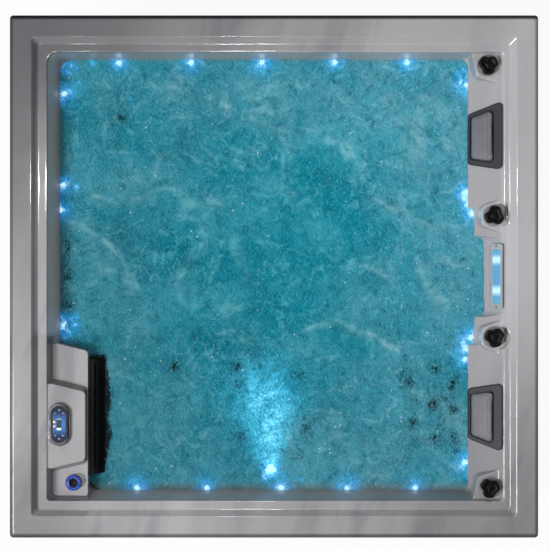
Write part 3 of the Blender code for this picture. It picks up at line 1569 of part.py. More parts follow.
def cabinet():
    span_x = HALF_X - PANEL_INSET - CORNER_LEG - GAP
    span_y = HALF_Y - PANEL_INSET - CORNER_LEG - GAP
    cabinet_panel("front_panel", (0, -1), span_x)
    cabinet_panel("rear_panel", (0, 1), span_x)
    cabinet_panel("left_panel", (-1, 0), span_y)
    cabinet_panel("right_panel", (1, 0), span_y)
    for front_rear, y_sign in (("front", -1), ("rear", 1)):
        for left_right, x_sign in (("left", -1), ("right", 1)):
            corner_trim(f"{front_rear}_{left_right}_corner_trim", x_sign, y_sign)


def pump():
    axis_z = MOTOR_AXIS_Z
    half = MOTOR_LENGTH / 2
    profile = ((MOTOR_RADIUS, -half), (MOTOR_RADIUS, half))
    motor = turned("pump_motor", profile, grey_plastic(), (MOTOR_X, MOTOR_Y, axis_z), (0, 1, 0))
    foot = box(
        "motor_foot",
        (MOTOR_X - MOTOR_FOOT_WIDTH / 2, MOTOR_Y - half / 2, BASE_FLOOR_Z),
        (MOTOR_X + MOTOR_FOOT_WIDTH / 2, MOTOR_Y + half / 2, axis_z - MOTOR_RADIUS / 2),
        grey_plastic(),
    )
    join(motor, foot)
    start = MOTOR_Y + half + GAP
    wet = turned(
        "pump_wet_end",
        (
            (WET_END_RADIUS, 0),
            (WET_END_RADIUS, WET_END_LENGTH),
            (PORT_RADIUS, WET_END_LENGTH),
            (PORT_RADIUS, WET_END_LENGTH + PORT_LENGTH),
        ),
        black_plastic(),
        (MOTOR_X, start, axis_z),
        (0, 1, 0),
    )
    outlet = turned(
        "wet_end_outlet",
        ((PORT_RADIUS, 0), (PORT_RADIUS, OUTLET_Z - axis_z)),
        black_plastic(),
        (MOTOR_X, start + WET_END_LENGTH / 2, axis_z),
    )
    join(wet, outlet)


def bent_path(points):
    """Points along straight runs joined by round bends."""
    path = [Vector(points[0])]
    for before, corner, after in zip(points, points[1:], points[2:]):
        corner = Vector(corner)
        into = (corner - Vector(before)).normalized()
        out = (Vector(after) - corner).normalized()
        start = corner - into * BEND_RADIUS
        centre = start + out * BEND_RADIUS
        for i in range(BEND_STEPS + 1):
            angle = i / BEND_STEPS * pi / 2
            path.append(centre - out * BEND_RADIUS * cos(angle) + into * BEND_RADIUS * sin(angle))
    path.append(Vector(points[-1]))
    return path


def pipe(name, points, finish):
    """A tube of even radius along a path of straight runs and bends."""
    path = bent_path(points)
    ends = [path[0]] + path + [path[-1]]
    along = (path[1] - path[0]).normalized()
    across = along.orthogonal().normalized()
    rings = []
    for before, spot, after in zip(ends, path, ends[2:]):
        heading = (after - before).normalized()
        across = (along.rotation_difference(heading) @ across).normalized()
        along = heading
        side = along.cross(across)
        ring = []
        for i in range(SMALL_STEPS):
            angle = 2 * pi * i / SMALL_STEPS
            ring.append(spot + (across * cos(angle) + side * sin(angle)) * PIPE_RADIUS)
        rings.append(ring)
    obj = skin(name, rings, finish)
    shade_round(obj)
    return obj


def header_place():
    """The suction header's nearest face, just behind the fittings' tails."""
    spot, inward = footwell_spot(suction_places()[0], SUCTION_Z)
    tail = spot - inward * SUCTION_BARREL_LENGTH
    lean = SUCTION_BARREL_RADIUS * abs(inward.z)
    return tail.x - lean - GAP, tail.z


def suction_pipe():
    """The sump behind the suction fittings, with the pipe from it to the pump's port."""
    near_x, middle_z = header_place()
    far_x = near_x - HEADER_WIDTH
    header = box(
        "suction_pipe",
        (far_x, -HEADER_LENGTH / 2, BASE_FLOOR_Z),
        (near_x, HEADER_LENGTH / 2, middle_z + HEADER_RISE),
        white_plastic(),
    )
    port_y = MOTOR_Y + MOTOR_LENGTH / 2 + WET_END_LENGTH + PORT_LENGTH + 2 * GAP
    header_y = port_y + BEND_RADIUS + PIPE_RADIUS
    route = (
        (far_x + HEADER_WIDTH / 2, header_y, MOTOR_AXIS_Z + PIPE_RADIUS / 2),
        (MOTOR_X, header_y, MOTOR_AXIS_Z + PIPE_RADIUS / 2),
        (MOTOR_X, port_y, MOTOR_AXIS_Z + PIPE_RADIUS / 2),
    )
    join(header, pipe("suction_run", route, white_plastic()))
    return header


def pressure_run(name):
    """The pipe from the pump's outlet, under the seats, up to the jet manifold's back."""
    outlet_y = MOTOR_Y + MOTOR_LENGTH / 2 + WET_END_LENGTH / 2 + GAP
    run_y = sum(jet_rows()[1:]) / 2
    spot, inward = wall_spot("right", run_y, sum(jet_heights()) / len(jet_heights()))
    back = spot - inward * (WALL + JET_BARREL_TAIL + MANIFOLD_THICKNESS / 2)
    route = (
        (MOTOR_X, outlet_y, OUTLET_Z + GAP),
        (MOTOR_X, outlet_y, PIPE_RUN_Z),
        (MOTOR_X, run_y, PIPE_RUN_Z),
        (back.x, run_y, PIPE_RUN_Z),
        (back.x, run_y, back.z),
    )
    return pipe(name, route, white_plastic())


def equipment():
    half = HEATER_LENGTH / 2
    profile = ((HEATER_RADIUS, -half), (HEATER_RADIUS, half))
    heater = turned("heater", profile, frame_steel(), (HEATER_X, HEATER_Y, HEATER_AXIS_Z), (0, 1, 0))
    foot = box(
        "heater_foot",
        (HEATER_X - HEATER_FOOT, HEATER_Y - half / 2, BASE_FLOOR_Z),
        (HEATER_X + HEATER_FOOT, HEATER_Y + half / 2, HEATER_AXIS_Z - HEATER_RADIUS / 2),
        frame_steel(),
    )
    join(heater, foot)
    pack_top = BASE_FLOOR_Z + PACK_HEIGHT
    rows = ((0, BASE_FLOOR_Z), (0, pack_top - PACK_EDGE), (PACK_EDGE, pack_top))
    half_x = PACK_WIDTH / 2
    half_y = PACK_LENGTH / 2
    pack_y = PACK_Y_SHARE * LENGTH
    rings = []
    for inset, z in rows:
        low_x = HEATER_X - half_x + inset
        high_x = HEATER_X + half_x - inset
        low_y = pack_y - half_y + inset
        rings.append(rounded_rectangle(low_x, high_x, low_y, pack_y + half_y - inset, PACK_EDGE, z))
    skin("control_pack", rings, grey_plastic())
    turned(
        "air_blower",
        ((BLOWER_RADIUS, 0), (BLOWER_RADIUS, BLOWER_HEIGHT * 2 / 3), (BLOWER_RADIUS / 2, BLOWER_HEIGHT)),
        black_plastic(),
        (BLOWER_X_SHARE * WIDTH, BLOWER_Y_SHARE * LENGTH, BASE_FLOOR_Z),
    )


def main():
    clear_scene()
    acrylic_shell()
    base_pan()
    floor_support()
    support_frame()
    cabinet()
    skimmer_housing()
    weir_flap()
    skimmer_grille()
    filter_cartridge()
    for name, x, y in valve_places():
        valve_body(name, x, y)
        valve_handle(name, x, y)
    ring_valve_body()
    ring_valve_cap()
    control_bezel()
    control_face()
    for name, x, y in button_places():
        control_button(name, x, y)
    for name, sign in (("rear", 1), ("front", -1)):
        headrest_frame(f"{name}_headrest_frame", sign)
        headrest_pad(f"{name}_headrest_pad", sign)
    waterfall_frame()
    waterfall_light_bar()
    underwater_light()
    upper_led_string()
    lower_led_string()
    jet_manifold()
    for number, (spot, inward) in enumerate(jet_spots(), 1):
        jet_face(f"jet_face_{number}", spot, inward)
    for number, y in enumerate(suction_places(), 1):
        suction_fitting(f"suction_fitting_{number}", y)
    floor_drain()
    pump()
    suction_pipe()
    equipment()


main()
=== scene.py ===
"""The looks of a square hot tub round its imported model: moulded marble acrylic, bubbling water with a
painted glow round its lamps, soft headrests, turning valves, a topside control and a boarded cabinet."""

import json
from math import cos, pi, radians, sin, tan

import bpy
import numpy as np
from mathutils import Matrix, Vector, noise

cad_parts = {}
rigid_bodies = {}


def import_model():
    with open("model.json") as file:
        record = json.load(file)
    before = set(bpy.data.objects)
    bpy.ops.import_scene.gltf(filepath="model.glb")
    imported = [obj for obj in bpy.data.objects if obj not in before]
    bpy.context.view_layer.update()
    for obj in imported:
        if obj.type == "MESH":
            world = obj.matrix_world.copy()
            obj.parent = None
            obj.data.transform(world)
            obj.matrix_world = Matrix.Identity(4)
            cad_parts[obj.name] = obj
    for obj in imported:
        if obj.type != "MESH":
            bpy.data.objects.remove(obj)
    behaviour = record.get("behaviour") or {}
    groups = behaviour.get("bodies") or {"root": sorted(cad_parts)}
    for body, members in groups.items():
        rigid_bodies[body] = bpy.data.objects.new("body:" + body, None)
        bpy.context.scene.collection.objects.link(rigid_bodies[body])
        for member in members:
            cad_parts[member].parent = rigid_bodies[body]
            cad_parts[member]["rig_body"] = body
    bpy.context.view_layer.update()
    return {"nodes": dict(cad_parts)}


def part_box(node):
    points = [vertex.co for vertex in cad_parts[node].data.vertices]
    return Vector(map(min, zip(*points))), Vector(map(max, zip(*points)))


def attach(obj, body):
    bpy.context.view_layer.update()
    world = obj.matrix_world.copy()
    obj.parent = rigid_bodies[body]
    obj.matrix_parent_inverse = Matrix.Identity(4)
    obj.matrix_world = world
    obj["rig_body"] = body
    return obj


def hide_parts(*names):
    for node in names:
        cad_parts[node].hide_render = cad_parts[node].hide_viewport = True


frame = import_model()
NODES = frame["nodes"]

# The photograph's frame and the height that it was taken from
FRAME_PX = 550
MIDDLE_X_PX = 274.0
MIDDLE_Y_PX = 276.5
RIM_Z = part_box("acrylic_shell")[1].z
CAMERA_RISE = 5.5
RIM_SPAN = 2.283
PIXEL = RIM_SPAN / FRAME_PX
SENSOR = 36.0

# Levels and lines of the moulding, in metres
WATER_Z = 0.77
TIER_Z = 0.878
UPPER_SHELL_Z = 0.7
BASIN_LEFT_X = -0.9095
BASIN_FRONT_Y, BASIN_REAR_Y = -0.907, 0.923
BLOCK_X = -0.7815
SHELF_X, SHELF_Y = -0.775, -0.25
SHOULDER_X, SHOULDER_RUN = 0.824, 0.1355
POD_X = 0.85
FALL_FOOT_X, FALL_RUN = 0.893, 0.078
FALL_SCREW_X, FALL_SCREW_Y = 0.932, 0.128
GRILLE_Y, GRILLE_HALF = -0.585, 0.24
SHELL_VOXEL = 0.003
SHELL_TRIANGLES = 185000

# Painted light and shade on the moulding: lips as (axis, start, share at its low side, share at its high
# side), bevels as (axis, middle, half width, way that they face, share, colour) and corners as (spot, reach,
# share)
# Painted shade on the rolled lip, by side
LIP_SHADES = (("X", 1.079, 0.58, 0.4), ("Y", 1.064, 0.66, 0.93))
# Painted light and shade on three bevels, by the way that they face
PAINTED_BEVELS = (
    ("X", -0.9945, 0.014, 1, 0.46, (0.06, 0.06, 0.066, 1)),
    ("Y", 0.986, 0.014, -1, 0.16, (0.5, 0.49, 0.5, 1)),
    ("X", 0.886, 0.06, -1, 0.3, (0.24, 0.24, 0.25, 1)),
)
# Painted shade on three of the rim's corners
PAINTED_CORNER_SHADES = (
    ((-1.1, 1.13, RIM_Z), 1.68, 0.88),
    ((1.16, -1.13, RIM_Z), 1.3, 0.46),
    ((-0.98, -1.15, RIM_Z), 0.42, 0.45),
)
# Painted shade in the lens-shaped ends of the side knobs' scallops, as (x, y)
PAINTED_SCALLOP_SHADES = ((0.9705, 0.268), (0.9675, -0.247))

# Waterline, as (x, y, corner radius) anticlockwise from the front left, past the waterfall's recess
WATER_EDGE = (
    (BLOCK_X, BASIN_FRONT_Y, 0.06), (SHOULDER_X, BASIN_FRONT_Y, 0.03), (SHOULDER_X, -0.29, 0.012),
    (POD_X, -0.29, 0.022), (POD_X, -0.17, 0.006), (FALL_FOOT_X, -0.17, 0.033),
    (FALL_FOOT_X, 0.17, 0.033), (POD_X, 0.17, 0.006), (POD_X, 0.29, 0.022), (SHOULDER_X, 0.29, 0.012),
    (SHOULDER_X, BASIN_REAR_Y, 0.03), (BASIN_LEFT_X, BASIN_REAR_Y, 0.06), (BASIN_LEFT_X, -0.275, 0.02),
    (BLOCK_X, -0.313, 0.02),
)
WATER_STEP = 0.0062
WATER_THICKNESS = 0.03
WATER_SIZE = (1.83, 1.87)
# glow and plume hold where painted lamp light lies on the water
WATER_MASKS = {"glow": 1.4, "plume": 2.0, "foam": 0.8, "deep": 1.0, "dark": 3.0, "wall": 0.9}

# Control on the shelf, lit bar and cushions
CONTROL_FACE_X, CONTROL_Y = -0.8945, -0.616
CONTROL_HALF_X, CONTROL_HALF_Y, CONTROL_WAIST = 0.03, 0.0735, 0.0045
BUTTONS = [f"{use}_button" for use in ("pump_one", "pump_two", "blower", "cooler", "warmer", "lamp")]
FALL_X = sum(corner.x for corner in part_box("waterfall_light_bar")) / 2
PAD_VOXEL = 0.005
PAD_FRAMES = 20
PAD_SWELL = 0.004
PAD_LIFT = 0.0045

# Valve knobs: their lobes, and each one's node, axis in plan and turn
KNOB_STEPS = 72
KNOB_LOBES = 3
KNOB_WAVE, KNOB_WAIST = 0.133, 0.059
VALVES = (
    ("rear", 0.893, 0.882, radians(30)),
    ("upper_side", 0.918, 0.254, radians(82)),
    ("lower_side", 0.918, -0.254, radians(40)),
    ("front", 0.8995, -0.882, radians(20)),
)


def deselect_all():
    if bpy.context.mode != "OBJECT":
        bpy.ops.object.mode_set(mode="OBJECT")
    bpy.ops.object.select_all(action="DESELECT")


def use(obj):
    deselect_all()
    obj.select_set(True)
    bpy.context.view_layer.objects.active = obj


def named(name):
    obj = bpy.context.object
    obj.name = name
    obj.data.name = name
    return obj


def settle(obj):
    """Puts the object at the origin, with its place in its mesh."""
    use(obj)
    bpy.ops.object.transform_apply(location=True, rotation=True, scale=True)
    return obj


def apply(obj, kind, **values):
    modifier = obj.modifiers.new(kind.lower(), kind)
    for key, value in values.items():
        setattr(modifier, key, value)
    use(obj)
    bpy.ops.object.modifier_apply(modifier=modifier.name)


def combine(obj, other, operation="DIFFERENCE"):
    apply(obj, "BOOLEAN", object=other, operation=operation, solver="EXACT")
    bpy.data.objects.remove(other)


def edit(obj, mode, action="SELECT"):
    """Opens the mesh for editing, with all or none of it selected."""
    use(obj)
    bpy.ops.object.mode_set(mode="EDIT")
    bpy.ops.mesh.select_mode(type=mode)
    bpy.ops.mesh.select_all(action=action)


def leave():
    bpy.ops.object.mode_set(mode="OBJECT")


def extrude(lift):
    bpy.ops.mesh.extrude_region_move(TRANSFORM_OT_translate={"value": (0, 0, lift)})


def close_up():
    """Turns every face outwards and leaves the mesh."""
    bpy.ops.mesh.select_all(action="SELECT")
    bpy.ops.mesh.normals_make_consistent(inside=False)
    leave()


def finished(obj, material, angle=35):
    """Gives a piece its material, and smooth faces up to an angle between them."""
    obj.data.materials.clear()
    obj.data.materials.append(material)
    if angle:
        use(obj)
        bpy.ops.object.shade_smooth_by_angle(angle=radians(angle))


def dress(obj, material, angle=None, replaced=None):
    """Finishes a new piece, which rides on the body of the node that it replaces, or on the tub."""
    finished(obj, material, angle)
    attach(obj, NODES[replaced]["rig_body"] if replaced else "tub")
    if replaced:
        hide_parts(replaced)


def copy_of(obj, name):
    made = obj.copy()
    made.data = obj.data.copy()
    made.name = name
    made.data.name = name
    for key in list(made.keys()):
        del made[key]
    made.parent = None
    bpy.context.scene.collection.objects.link(made)
    return made


def merged_copy(node_name, name):
    made = copy_of(NODES[node_name], name)
    edit(made, "VERT")
    bpy.ops.mesh.remove_doubles(threshold=0.00002)
    leave()
    return made


def turned(name, profile, steps=48, outline=None):
    """A solid from (size, height) pairs: a disc, or an outline for a size of 1, extruded and scaled."""
    size, height = profile[0]
    deselect_all()
    count = len(outline) if outline else steps
    bpy.ops.mesh.primitive_circle_add(vertices=count, radius=size, fill_type="NGON", location=(0, 0, height))
    obj = settle(named(name))
    if outline:
        for vertex, (x, y) in zip(obj.data.vertices, outline):
            vertex.co = (x * size, y * size, height)
    edit(obj, "VERT")
    for next_size, next_height in profile[1:]:
        extrude(next_height - height)
        share = next_size / size
        bpy.ops.transform.resize(value=(share, share, 1), center_override=(0, 0, next_height))
        size, height = next_size, next_height
    close_up()
    return obj


def filleted(corners, steps=6):
    """Plan points of an outline given as (x, y, radius) corners."""
    points = []
    count = len(corners)
    for i, (x, y, radius) in enumerate(corners):
        here = Vector((x, y))
        back = (Vector(corners[i - 1][:2]) - here).normalized()
        ahead = (Vector(corners[(i + 1) % count][:2]) - here).normalized()
        half = back.angle(ahead) / 2
        centre = here + (back + ahead).normalized() * radius / sin(half)
        start = here + back * radius / tan(half) - centre
        end = here + ahead * radius / tan(half) - centre
        sweep = start.angle_signed(end)
        for step in range(steps + 1):
            points.append(centre + Matrix.Rotation(-sweep * step / steps, 2) @ start)
    return points


def plate(name, points, low, high):
    """An upright prism on an outline."""
    deselect_all()
    bpy.ops.mesh.primitive_circle_add(vertices=len(points), radius=1, fill_type="NGON")
    obj = named(name)
    for vertex, point in zip(obj.data.vertices, points):
        vertex.co = (point[0], point[1], low)
    edit(obj, "FACE")
    extrude(high - low)
    close_up()
    return obj


def ring_turned(name, profile, steps=64):
    """A closed ring from a loop of (radius, height) pairs round its section."""
    deselect_all()
    bpy.ops.mesh.primitive_circle_add(vertices=len(profile), radius=1)
    obj = named(name)
    for vertex, (radius, height) in zip(obj.data.vertices, profile):
        vertex.co = (radius, 0, height)
    edit(obj, "VERT")
    bpy.ops.mesh.spin(steps=steps, angle=2 * pi, center=(0, 0, 0), axis=(0, 0, 1))
    bpy.ops.mesh.select_all(action="SELECT")
    bpy.ops.mesh.remove_doubles(threshold=0.000001)
    close_up()
    return obj


def put(obj, spot, direction=(0, 0, 1), turn=0):
    """Moves a piece modelled at the origin to its spot, with its own Z along the direction."""
    aim = Vector((0, 0, 1)).rotation_difference(Vector(direction)).to_matrix().to_4x4()
    obj.data.transform(Matrix.Translation(spot) @ aim @ Matrix.Rotation(turn, 4, "Z"))
    obj.data.update()
    return obj


# Nodes of the materials


def is_socket(value):
    return isinstance(value, bpy.types.NodeSocket)


def fill(sockets, values):
    """Links each value that is a socket, and sets the others."""
    for key, value in values.items():
        if is_socket(value):
            value.id_data.links.new(value, sockets[key])
        else:
            sockets[key].default_value = value


def node(kind, inputs=None, tree=None, **settings):
    """The outputs of a new node, which stands in the tree of the sockets that feed it."""
    inputs = inputs or {}
    tree = tree or next(value.id_data for value in inputs.values() if is_socket(value))
    made = tree.nodes.new(f"ShaderNode{kind}")
    for key, value in settings.items():
        setattr(made, key, value)
    fill(made.inputs, inputs)
    return made.outputs


def maths(operation, first, second=0.5, clamp=False):
    return node("Math", {0: first, 1: second}, operation=operation, use_clamp=clamp)[0]


def times(first, second, clamp=False):
    return maths("MULTIPLY", first, second, clamp)


def apart(first, second):
    return maths("ABSOLUTE", maths("SUBTRACT", first, second))


def separate(vector):
    return node("SeparateXYZ", {0: vector})


def mixed(share, first, second, way="MIX"):
    return node("Mix", {0: share, 6: first, 7: second}, data_type="RGBA", blend_type=way)[2]


def remap(value, from_low, from_high, to_low=0.0, to_high=1.0):
    inputs = {0: value, 1: from_low, 2: from_high, 3: to_low, 4: to_high}
    return node("MapRange", inputs, interpolation_type="SMOOTHSTEP")[0]


def cloud(vector, scale, detail=4, distortion=0, roughness=0.5):
    inputs = {"Vector": vector, "Scale": scale, "Detail": detail, "Roughness": roughness}
    return node("TexNoise", {**inputs, "Distortion": distortion})["Fac"]


def grey(value):
    return (value, value, value, 1)


def rgb(red, green, blue):
    """A colour given in the eye's scale of 0 to 255, as linear light."""
    linear = []
    for channel in (red, green, blue):
        share = channel / 255
        linear.append(share / 12.92 if share <= 0.04045 else ((share + 0.055) / 1.055) ** 2.4)
    return (*linear, 1)


def new_group(name, inputs, outputs):
    """A node group with its sockets named in two lists: its tree, what it is given and what it gives."""
    tree = bpy.data.node_groups.new(name, "ShaderNodeTree")
    for way, labels in (("INPUT", inputs), ("OUTPUT", outputs)):
        for label in labels.split():
            kind = "NodeSocketVector" if label == "Vector" else "NodeSocketFloat"
            tree.interface.new_socket(name=label, in_out=way, socket_type=kind)
    return tree, tree.nodes.new("NodeGroupInput").outputs, tree.nodes.new("NodeGroupOutput").inputs


def fine_grain_group():
    """Moulded grain: a height for bump, and a small change of roughness and of colour."""
    tree, given, made = new_group("fine_grain", "Vector Scale Roughness Spread", "Height Roughness Shade")
    fine = cloud(given["Vector"], given["Scale"], 6, 0, 0.6)
    broad = cloud(given["Vector"], 7.0, 3)
    uneven = times(maths("SUBTRACT", broad, 0.5), given["Spread"])
    roughness = maths("ADD", given["Roughness"], uneven, clamp=True)
    fill(made, {"Height": fine, "Roughness": roughness, "Shade": times(fine, broad)})
    return tree


def edge_wear_group():
    """How strongly an edge is rubbed, from the shape's own corners, broken up by noise."""
    tree, given, made = new_group("edge_wear", "Vector Amount", "Mask")
    sharp = remap(node("NewGeometry", tree=tree)["Pointiness"], 0.52, 0.62)
    broken = remap(cloud(given["Vector"], 60, 4), 0.35, 0.7)
    fill(made, {"Mask": times(times(sharp, broken), given["Amount"])})
    return tree


FINE_GRAIN = fine_grain_group()
EDGE_WEAR = edge_wear_group()


def new_material(name):
    """A material, and the place that its patterns are laid out on."""
    made = bpy.data.materials.new(name)
    made.use_nodes = True
    return made, node("TexCoord", tree=made.node_tree)["Object"]


def finish(made, values, height=None, strength=0.1, distance=0.0004):
    """Gives a material its shader's values, and a bump where it has a height."""
    if height:
        bump = {"Height": height, "Strength": strength, "Distance": distance}
        values["Normal"] = node("Bump", bump)[0]
    fill(made.node_tree.nodes["Principled BSDF"].inputs, values)
    return made


def grained(name, colour, worn_colour, roughness, scale=300.0, strength=0.1, coat=0.0, metallic=0.0, wear=0.5,
            shine=0.5):
    """A moulded or painted finish with fine grain, uneven gloss and rubbed edges."""
    made, place = new_material(name)
    values = {"Vector": place, "Scale": scale, "Roughness": roughness, "Spread": 0.16}
    grain = node("Group", values, node_tree=FINE_GRAIN)
    worn = node("Group", {"Vector": place, "Amount": wear}, node_tree=EDGE_WEAR)["Mask"]
    toned = mixed(1.0, colour, remap(grain["Shade"], 0.12, 0.4, 0.82, 1.18), "MULTIPLY")
    return finish(made, {
        "Base Color": mixed(worn, toned, worn_colour),
        "Roughness": grain["Roughness"],
        "Metallic": metallic,
        "Specular IOR Level": shine,
        "Coat Weight": coat,
        "Coat Roughness": 0.12,
    }, grain["Height"], strength)


def warped(vector, scale, amount):
    """The vector, pushed about by noise, so that a pattern on it swirls."""
    push = node("TexNoise", {"Vector": vector, "Scale": scale, "Detail": 3})["Color"]
    centred = node("VectorMath", {0: push, 1: (0.5, 0.5, 0.5)}, operation="SUBTRACT")[0]
    scaled = node("VectorMath", {0: centred, "Scale": amount}, operation="SCALE")[0]
    return node("VectorMath", {0: vector, 1: scaled}, operation="ADD")[0]


def stretched(vector, scale, turn=0.0):
    """The vector, turned about Z and scaled, so that a pattern on it is drawn out."""
    return node("Mapping", {"Vector": vector, "Rotation": (0, 0, turn), "Scale": scale})[0]


def beside(place, spot, reach):
    """1 at a spot, falling softly to 0 at its reach."""
    away = node("VectorMath", {0: place, 1: spot}, operation="DISTANCE")["Value"]
    return remap(away, reach, 0.0)


def marble_tone(place, parts):
    """Warm grey with long smoky veins, with painted shade towards three corners and painted light to the
    right.
    """
    drawn_out = stretched(stretched(place, (1, 1, 1), radians(14)), (1.0, 0.24, 0.6))
    flowing = warped(drawn_out, 2.2, 0.22)
    broad = cloud(flowing, 3.2, 4)
    veins = cloud(flowing, 6.0, 5, 0.4, 0.55)
    tone = mixed(remap(broad, 0.32, 0.68), rgb(158, 155, 158), rgb(175, 173, 176))
    tone = mixed(remap(veins, 0.5, 0.7, 0.0, 0.62), tone, rgb(130, 128, 132))
    tone = mixed(remap(veins, 0.44, 0.3, 0.0, 0.35), tone, rgb(188, 186, 189))
    # Painted shade: darker towards three corners
    for spot, reach, share in PAINTED_CORNER_SHADES:
        tone = mixed(times(beside(place, spot, reach), share), tone, rgb(92, 91, 95))
    # Painted light: lighter towards the right, less so at the front
    bright = times(remap(parts["X"], 0.2, 1.2, 0.0, 0.42), remap(parts["Y"], -0.9, 0.2))
    return mixed(bright, tone, rgb(214, 213, 217))


def painted_moulding_shades(parts, tone):
    """Painted shade in the scallops' lens-shaped ends and on the shelf's steep sides, and painted light and
    shade on the bevels.
    """
    # Painted shade in the scallops' lens-shaped ends
    for x, y in PAINTED_SCALLOP_SHADES:
        curved = maths("POWER", apart(parts["Y"], y), 2.0)
        lens = maths("ADD", apart(parts["X"], x), times(curved, 4.2))
        tone = mixed(remap(lens, 0.0085, 0.006, 0.0, 0.85), tone, rgb(52, 52, 56))
    facing = separate(node("TexCoord", tree=tone.id_data)["Normal"])
    # Painted light and shade on the bevels, lighter or darker by the way that they face
    for axis, middle, half, way, share, shade in PAINTED_BEVELS:
        near = remap(apart(parts[axis], middle), half + 0.006, half)
        sloped = remap(times(facing[axis], way), 0.12, 0.4, 0.0, share)
        tone = mixed(times(near, sloped), tone, shade)
    # Painted shade on the shelf's steep sides
    leftward = remap(parts["X"], SHELF_X + 0.01, SHELF_X - 0.01)
    frontward = remap(parts["Y"], SHELF_Y + 0.01, SHELF_Y - 0.01)
    shelf = times(times(leftward, frontward), remap(parts["Z"], 0.818, 0.828))
    steep = times(shelf, remap(facing["Z"], 0.88, 0.6, 0.0, 0.62))
    return mixed(steep, tone, rgb(70, 70, 74))


def painted_wall_light(parts, tone):
    """Painted light on the basin's walls above the water and on the left tier. The shelf stays as it is."""
    rightward = remap(parts["X"], SHELF_X + 0.005, SHELF_X + 0.025)
    off_shelf = maths("MAXIMUM", rightward, remap(parts["Y"], SHELF_Y - 0.01, SHELF_Y + 0.03))
    leftmost = remap(parts["X"], -0.905, -0.93)
    share = maths("ADD", times(leftmost, 0.26), remap(parts["X"], 0.72, 0.6, 0.0, 0.16))
    walls = times(remap(parts["Z"], TIER_Z - 0.004, TIER_Z - 0.012), share)
    # Painted light: the walls lighter and warmer
    tone = mixed(times(walls, off_shelf), tone, rgb(240, 228, 216))
    # Painted light on the left tier, fading towards the rear
    above = remap(parts["Z"], TIER_Z - 0.008, TIER_Z - 0.002)
    level = times(above, remap(parts["Z"], TIER_Z + 0.012, TIER_Z + 0.006))
    tier = times(level, times(leftmost, remap(parts["Y"], 0.96, 0.4, 0.0, 0.17)))
    return mixed(times(tier, off_shelf), tone, rgb(232, 228, 230))


def painted_lip_shade(parts):
    """How much painted shade darkens the rolled lip on each side of the tub."""
    lip = 0.0
    for axis, start, low_share, high_share in LIP_SHADES:
        beyond = remap(maths("ABSOLUTE", parts[axis]), start, start + 0.01)
        depth = remap(parts[axis], -0.1, 0.1, low_share, high_share)
        lip = maths("MAXIMUM", times(beyond, depth), lip)
    return lip


def marble_acrylic():
    """Polished cast acrylic, with painted light and shade on its moulding and a rolled lip darkened by
    painted shade.
    """
    made, place = new_material("marble_acrylic")
    parts = separate(place)
    tone = painted_wall_light(parts, painted_moulding_shades(parts, marble_tone(place, parts)))
    # Painted shade: the lip's colour is darkened, and its gloss dulled, by side
    lip = painted_lip_shade(parts)
    return finish(made, {
        "Base Color": mixed(lip, tone, rgb(34, 34, 38)),
        "Roughness": remap(cloud(place, 14, 4), 0.3, 0.7, 0.09, 0.16),
        "Specular IOR Level": maths("SUBTRACT", 0.5, lip, clamp=True),
        "Coat Weight": maths("SUBTRACT", 0.35, lip, clamp=True),
        "Coat Roughness": 0.03,
    }, cloud(place, 22, 2), 0.04, 0.002)


def water_body(swirl, churn, fizz, masks):
    """The water's own colour: clouds, froth, fizz, foam, dark spots, and the walls that show through."""
    clouds = cloud(swirl, 4.0, 7, 0.3, 0.6)
    base = mixed(masks["deep"], rgb(58, 142, 162), rgb(0, 128, 150))
    for pattern, start, end, share, colour in (
        (clouds, 0.44, 0.68, 0.6, rgb(84, 160, 180)),
        (clouds, 0.46, 0.3, 0.55, rgb(0, 102, 126)),
        (churn, 0.52, 0.72, 0.5, rgb(92, 172, 190)),
        (churn, 0.48, 0.3, 0.6, rgb(0, 84, 104)),
        (fizz, 0.53, 0.67, 0.56, rgb(122, 198, 212)),
        (fizz, 0.48, 0.35, 0.54, rgb(0, 80, 100)),
    ):
        base = mixed(remap(pattern, start, end, 0.0, share), base, colour)
    ridge = apart(cloud(swirl, 3.1, 5, 1.1, 0.55), 0.5)
    wisps = times(remap(ridge, 0.028, 0.0), remap(churn, 0.4, 0.66, 0.0, 0.6))
    base = mixed(wisps, base, rgb(128, 180, 194))
    torn = times(masks["foam"], remap(churn, 0.34, 0.6, 0.25, 1.0), clamp=True)
    base = mixed(torn, base, rgb(150, 186, 198))
    # The dark mask holds the jets, gloomy patches and the painted shade under the grille
    speckled = times(masks["dark"], remap(fizz, 0.42, 0.58, 1.2, 0.34), clamp=True)
    base = mixed(speckled, base, rgb(6, 26, 32))
    base = mixed(masks["wall"], base, rgb(112, 122, 124))
    return mixed(times(masks["deep"], 0.62), base, (0.12, 1, 1, 1), "MULTIPLY")


def painted_glints(place):
    """Painted highlights: a small pale spot in some cells of a pattern, and only in patches."""
    cells = node("TexVoronoi", {"Vector": place, "Scale": 46.0})
    chosen = remap(node("SeparateColor", {0: cells["Color"]})[0], 0.72, 0.9)
    spots = times(remap(cells["Distance"], 0.2, 0.06), chosen)
    return times(spots, remap(cloud(place, 7.0, 3), 0.46, 0.62))


def painted_lamp_glow(churn, fizz, masks):
    """Painted glow of the lamps round the waterline, and of the main lamp's beam through the froth."""
    patchy = times(masks["glow"], remap(fizz, 0.38, 0.62, 0.72, 1.2))
    haze = mixed(remap(patchy, 0.0, 0.6), grey(0), rgb(20, 108, 178))
    core = mixed(remap(patchy, 0.42, 1.15), haze, rgb(196, 234, 255))
    shaft = times(masks["plume"], remap(churn, 0.34, 0.66, 0.62, 1.3))
    shaft = times(shaft, remap(fizz, 0.38, 0.62, 0.68, 1.32))
    beam = mixed(remap(shaft, 0.0, 1.2), grey(0), rgb(46, 142, 180))
    beam = mixed(remap(shaft, 0.85, 2.0), beam, rgb(120, 212, 240))
    return mixed(1.0, core, beam, "ADD")


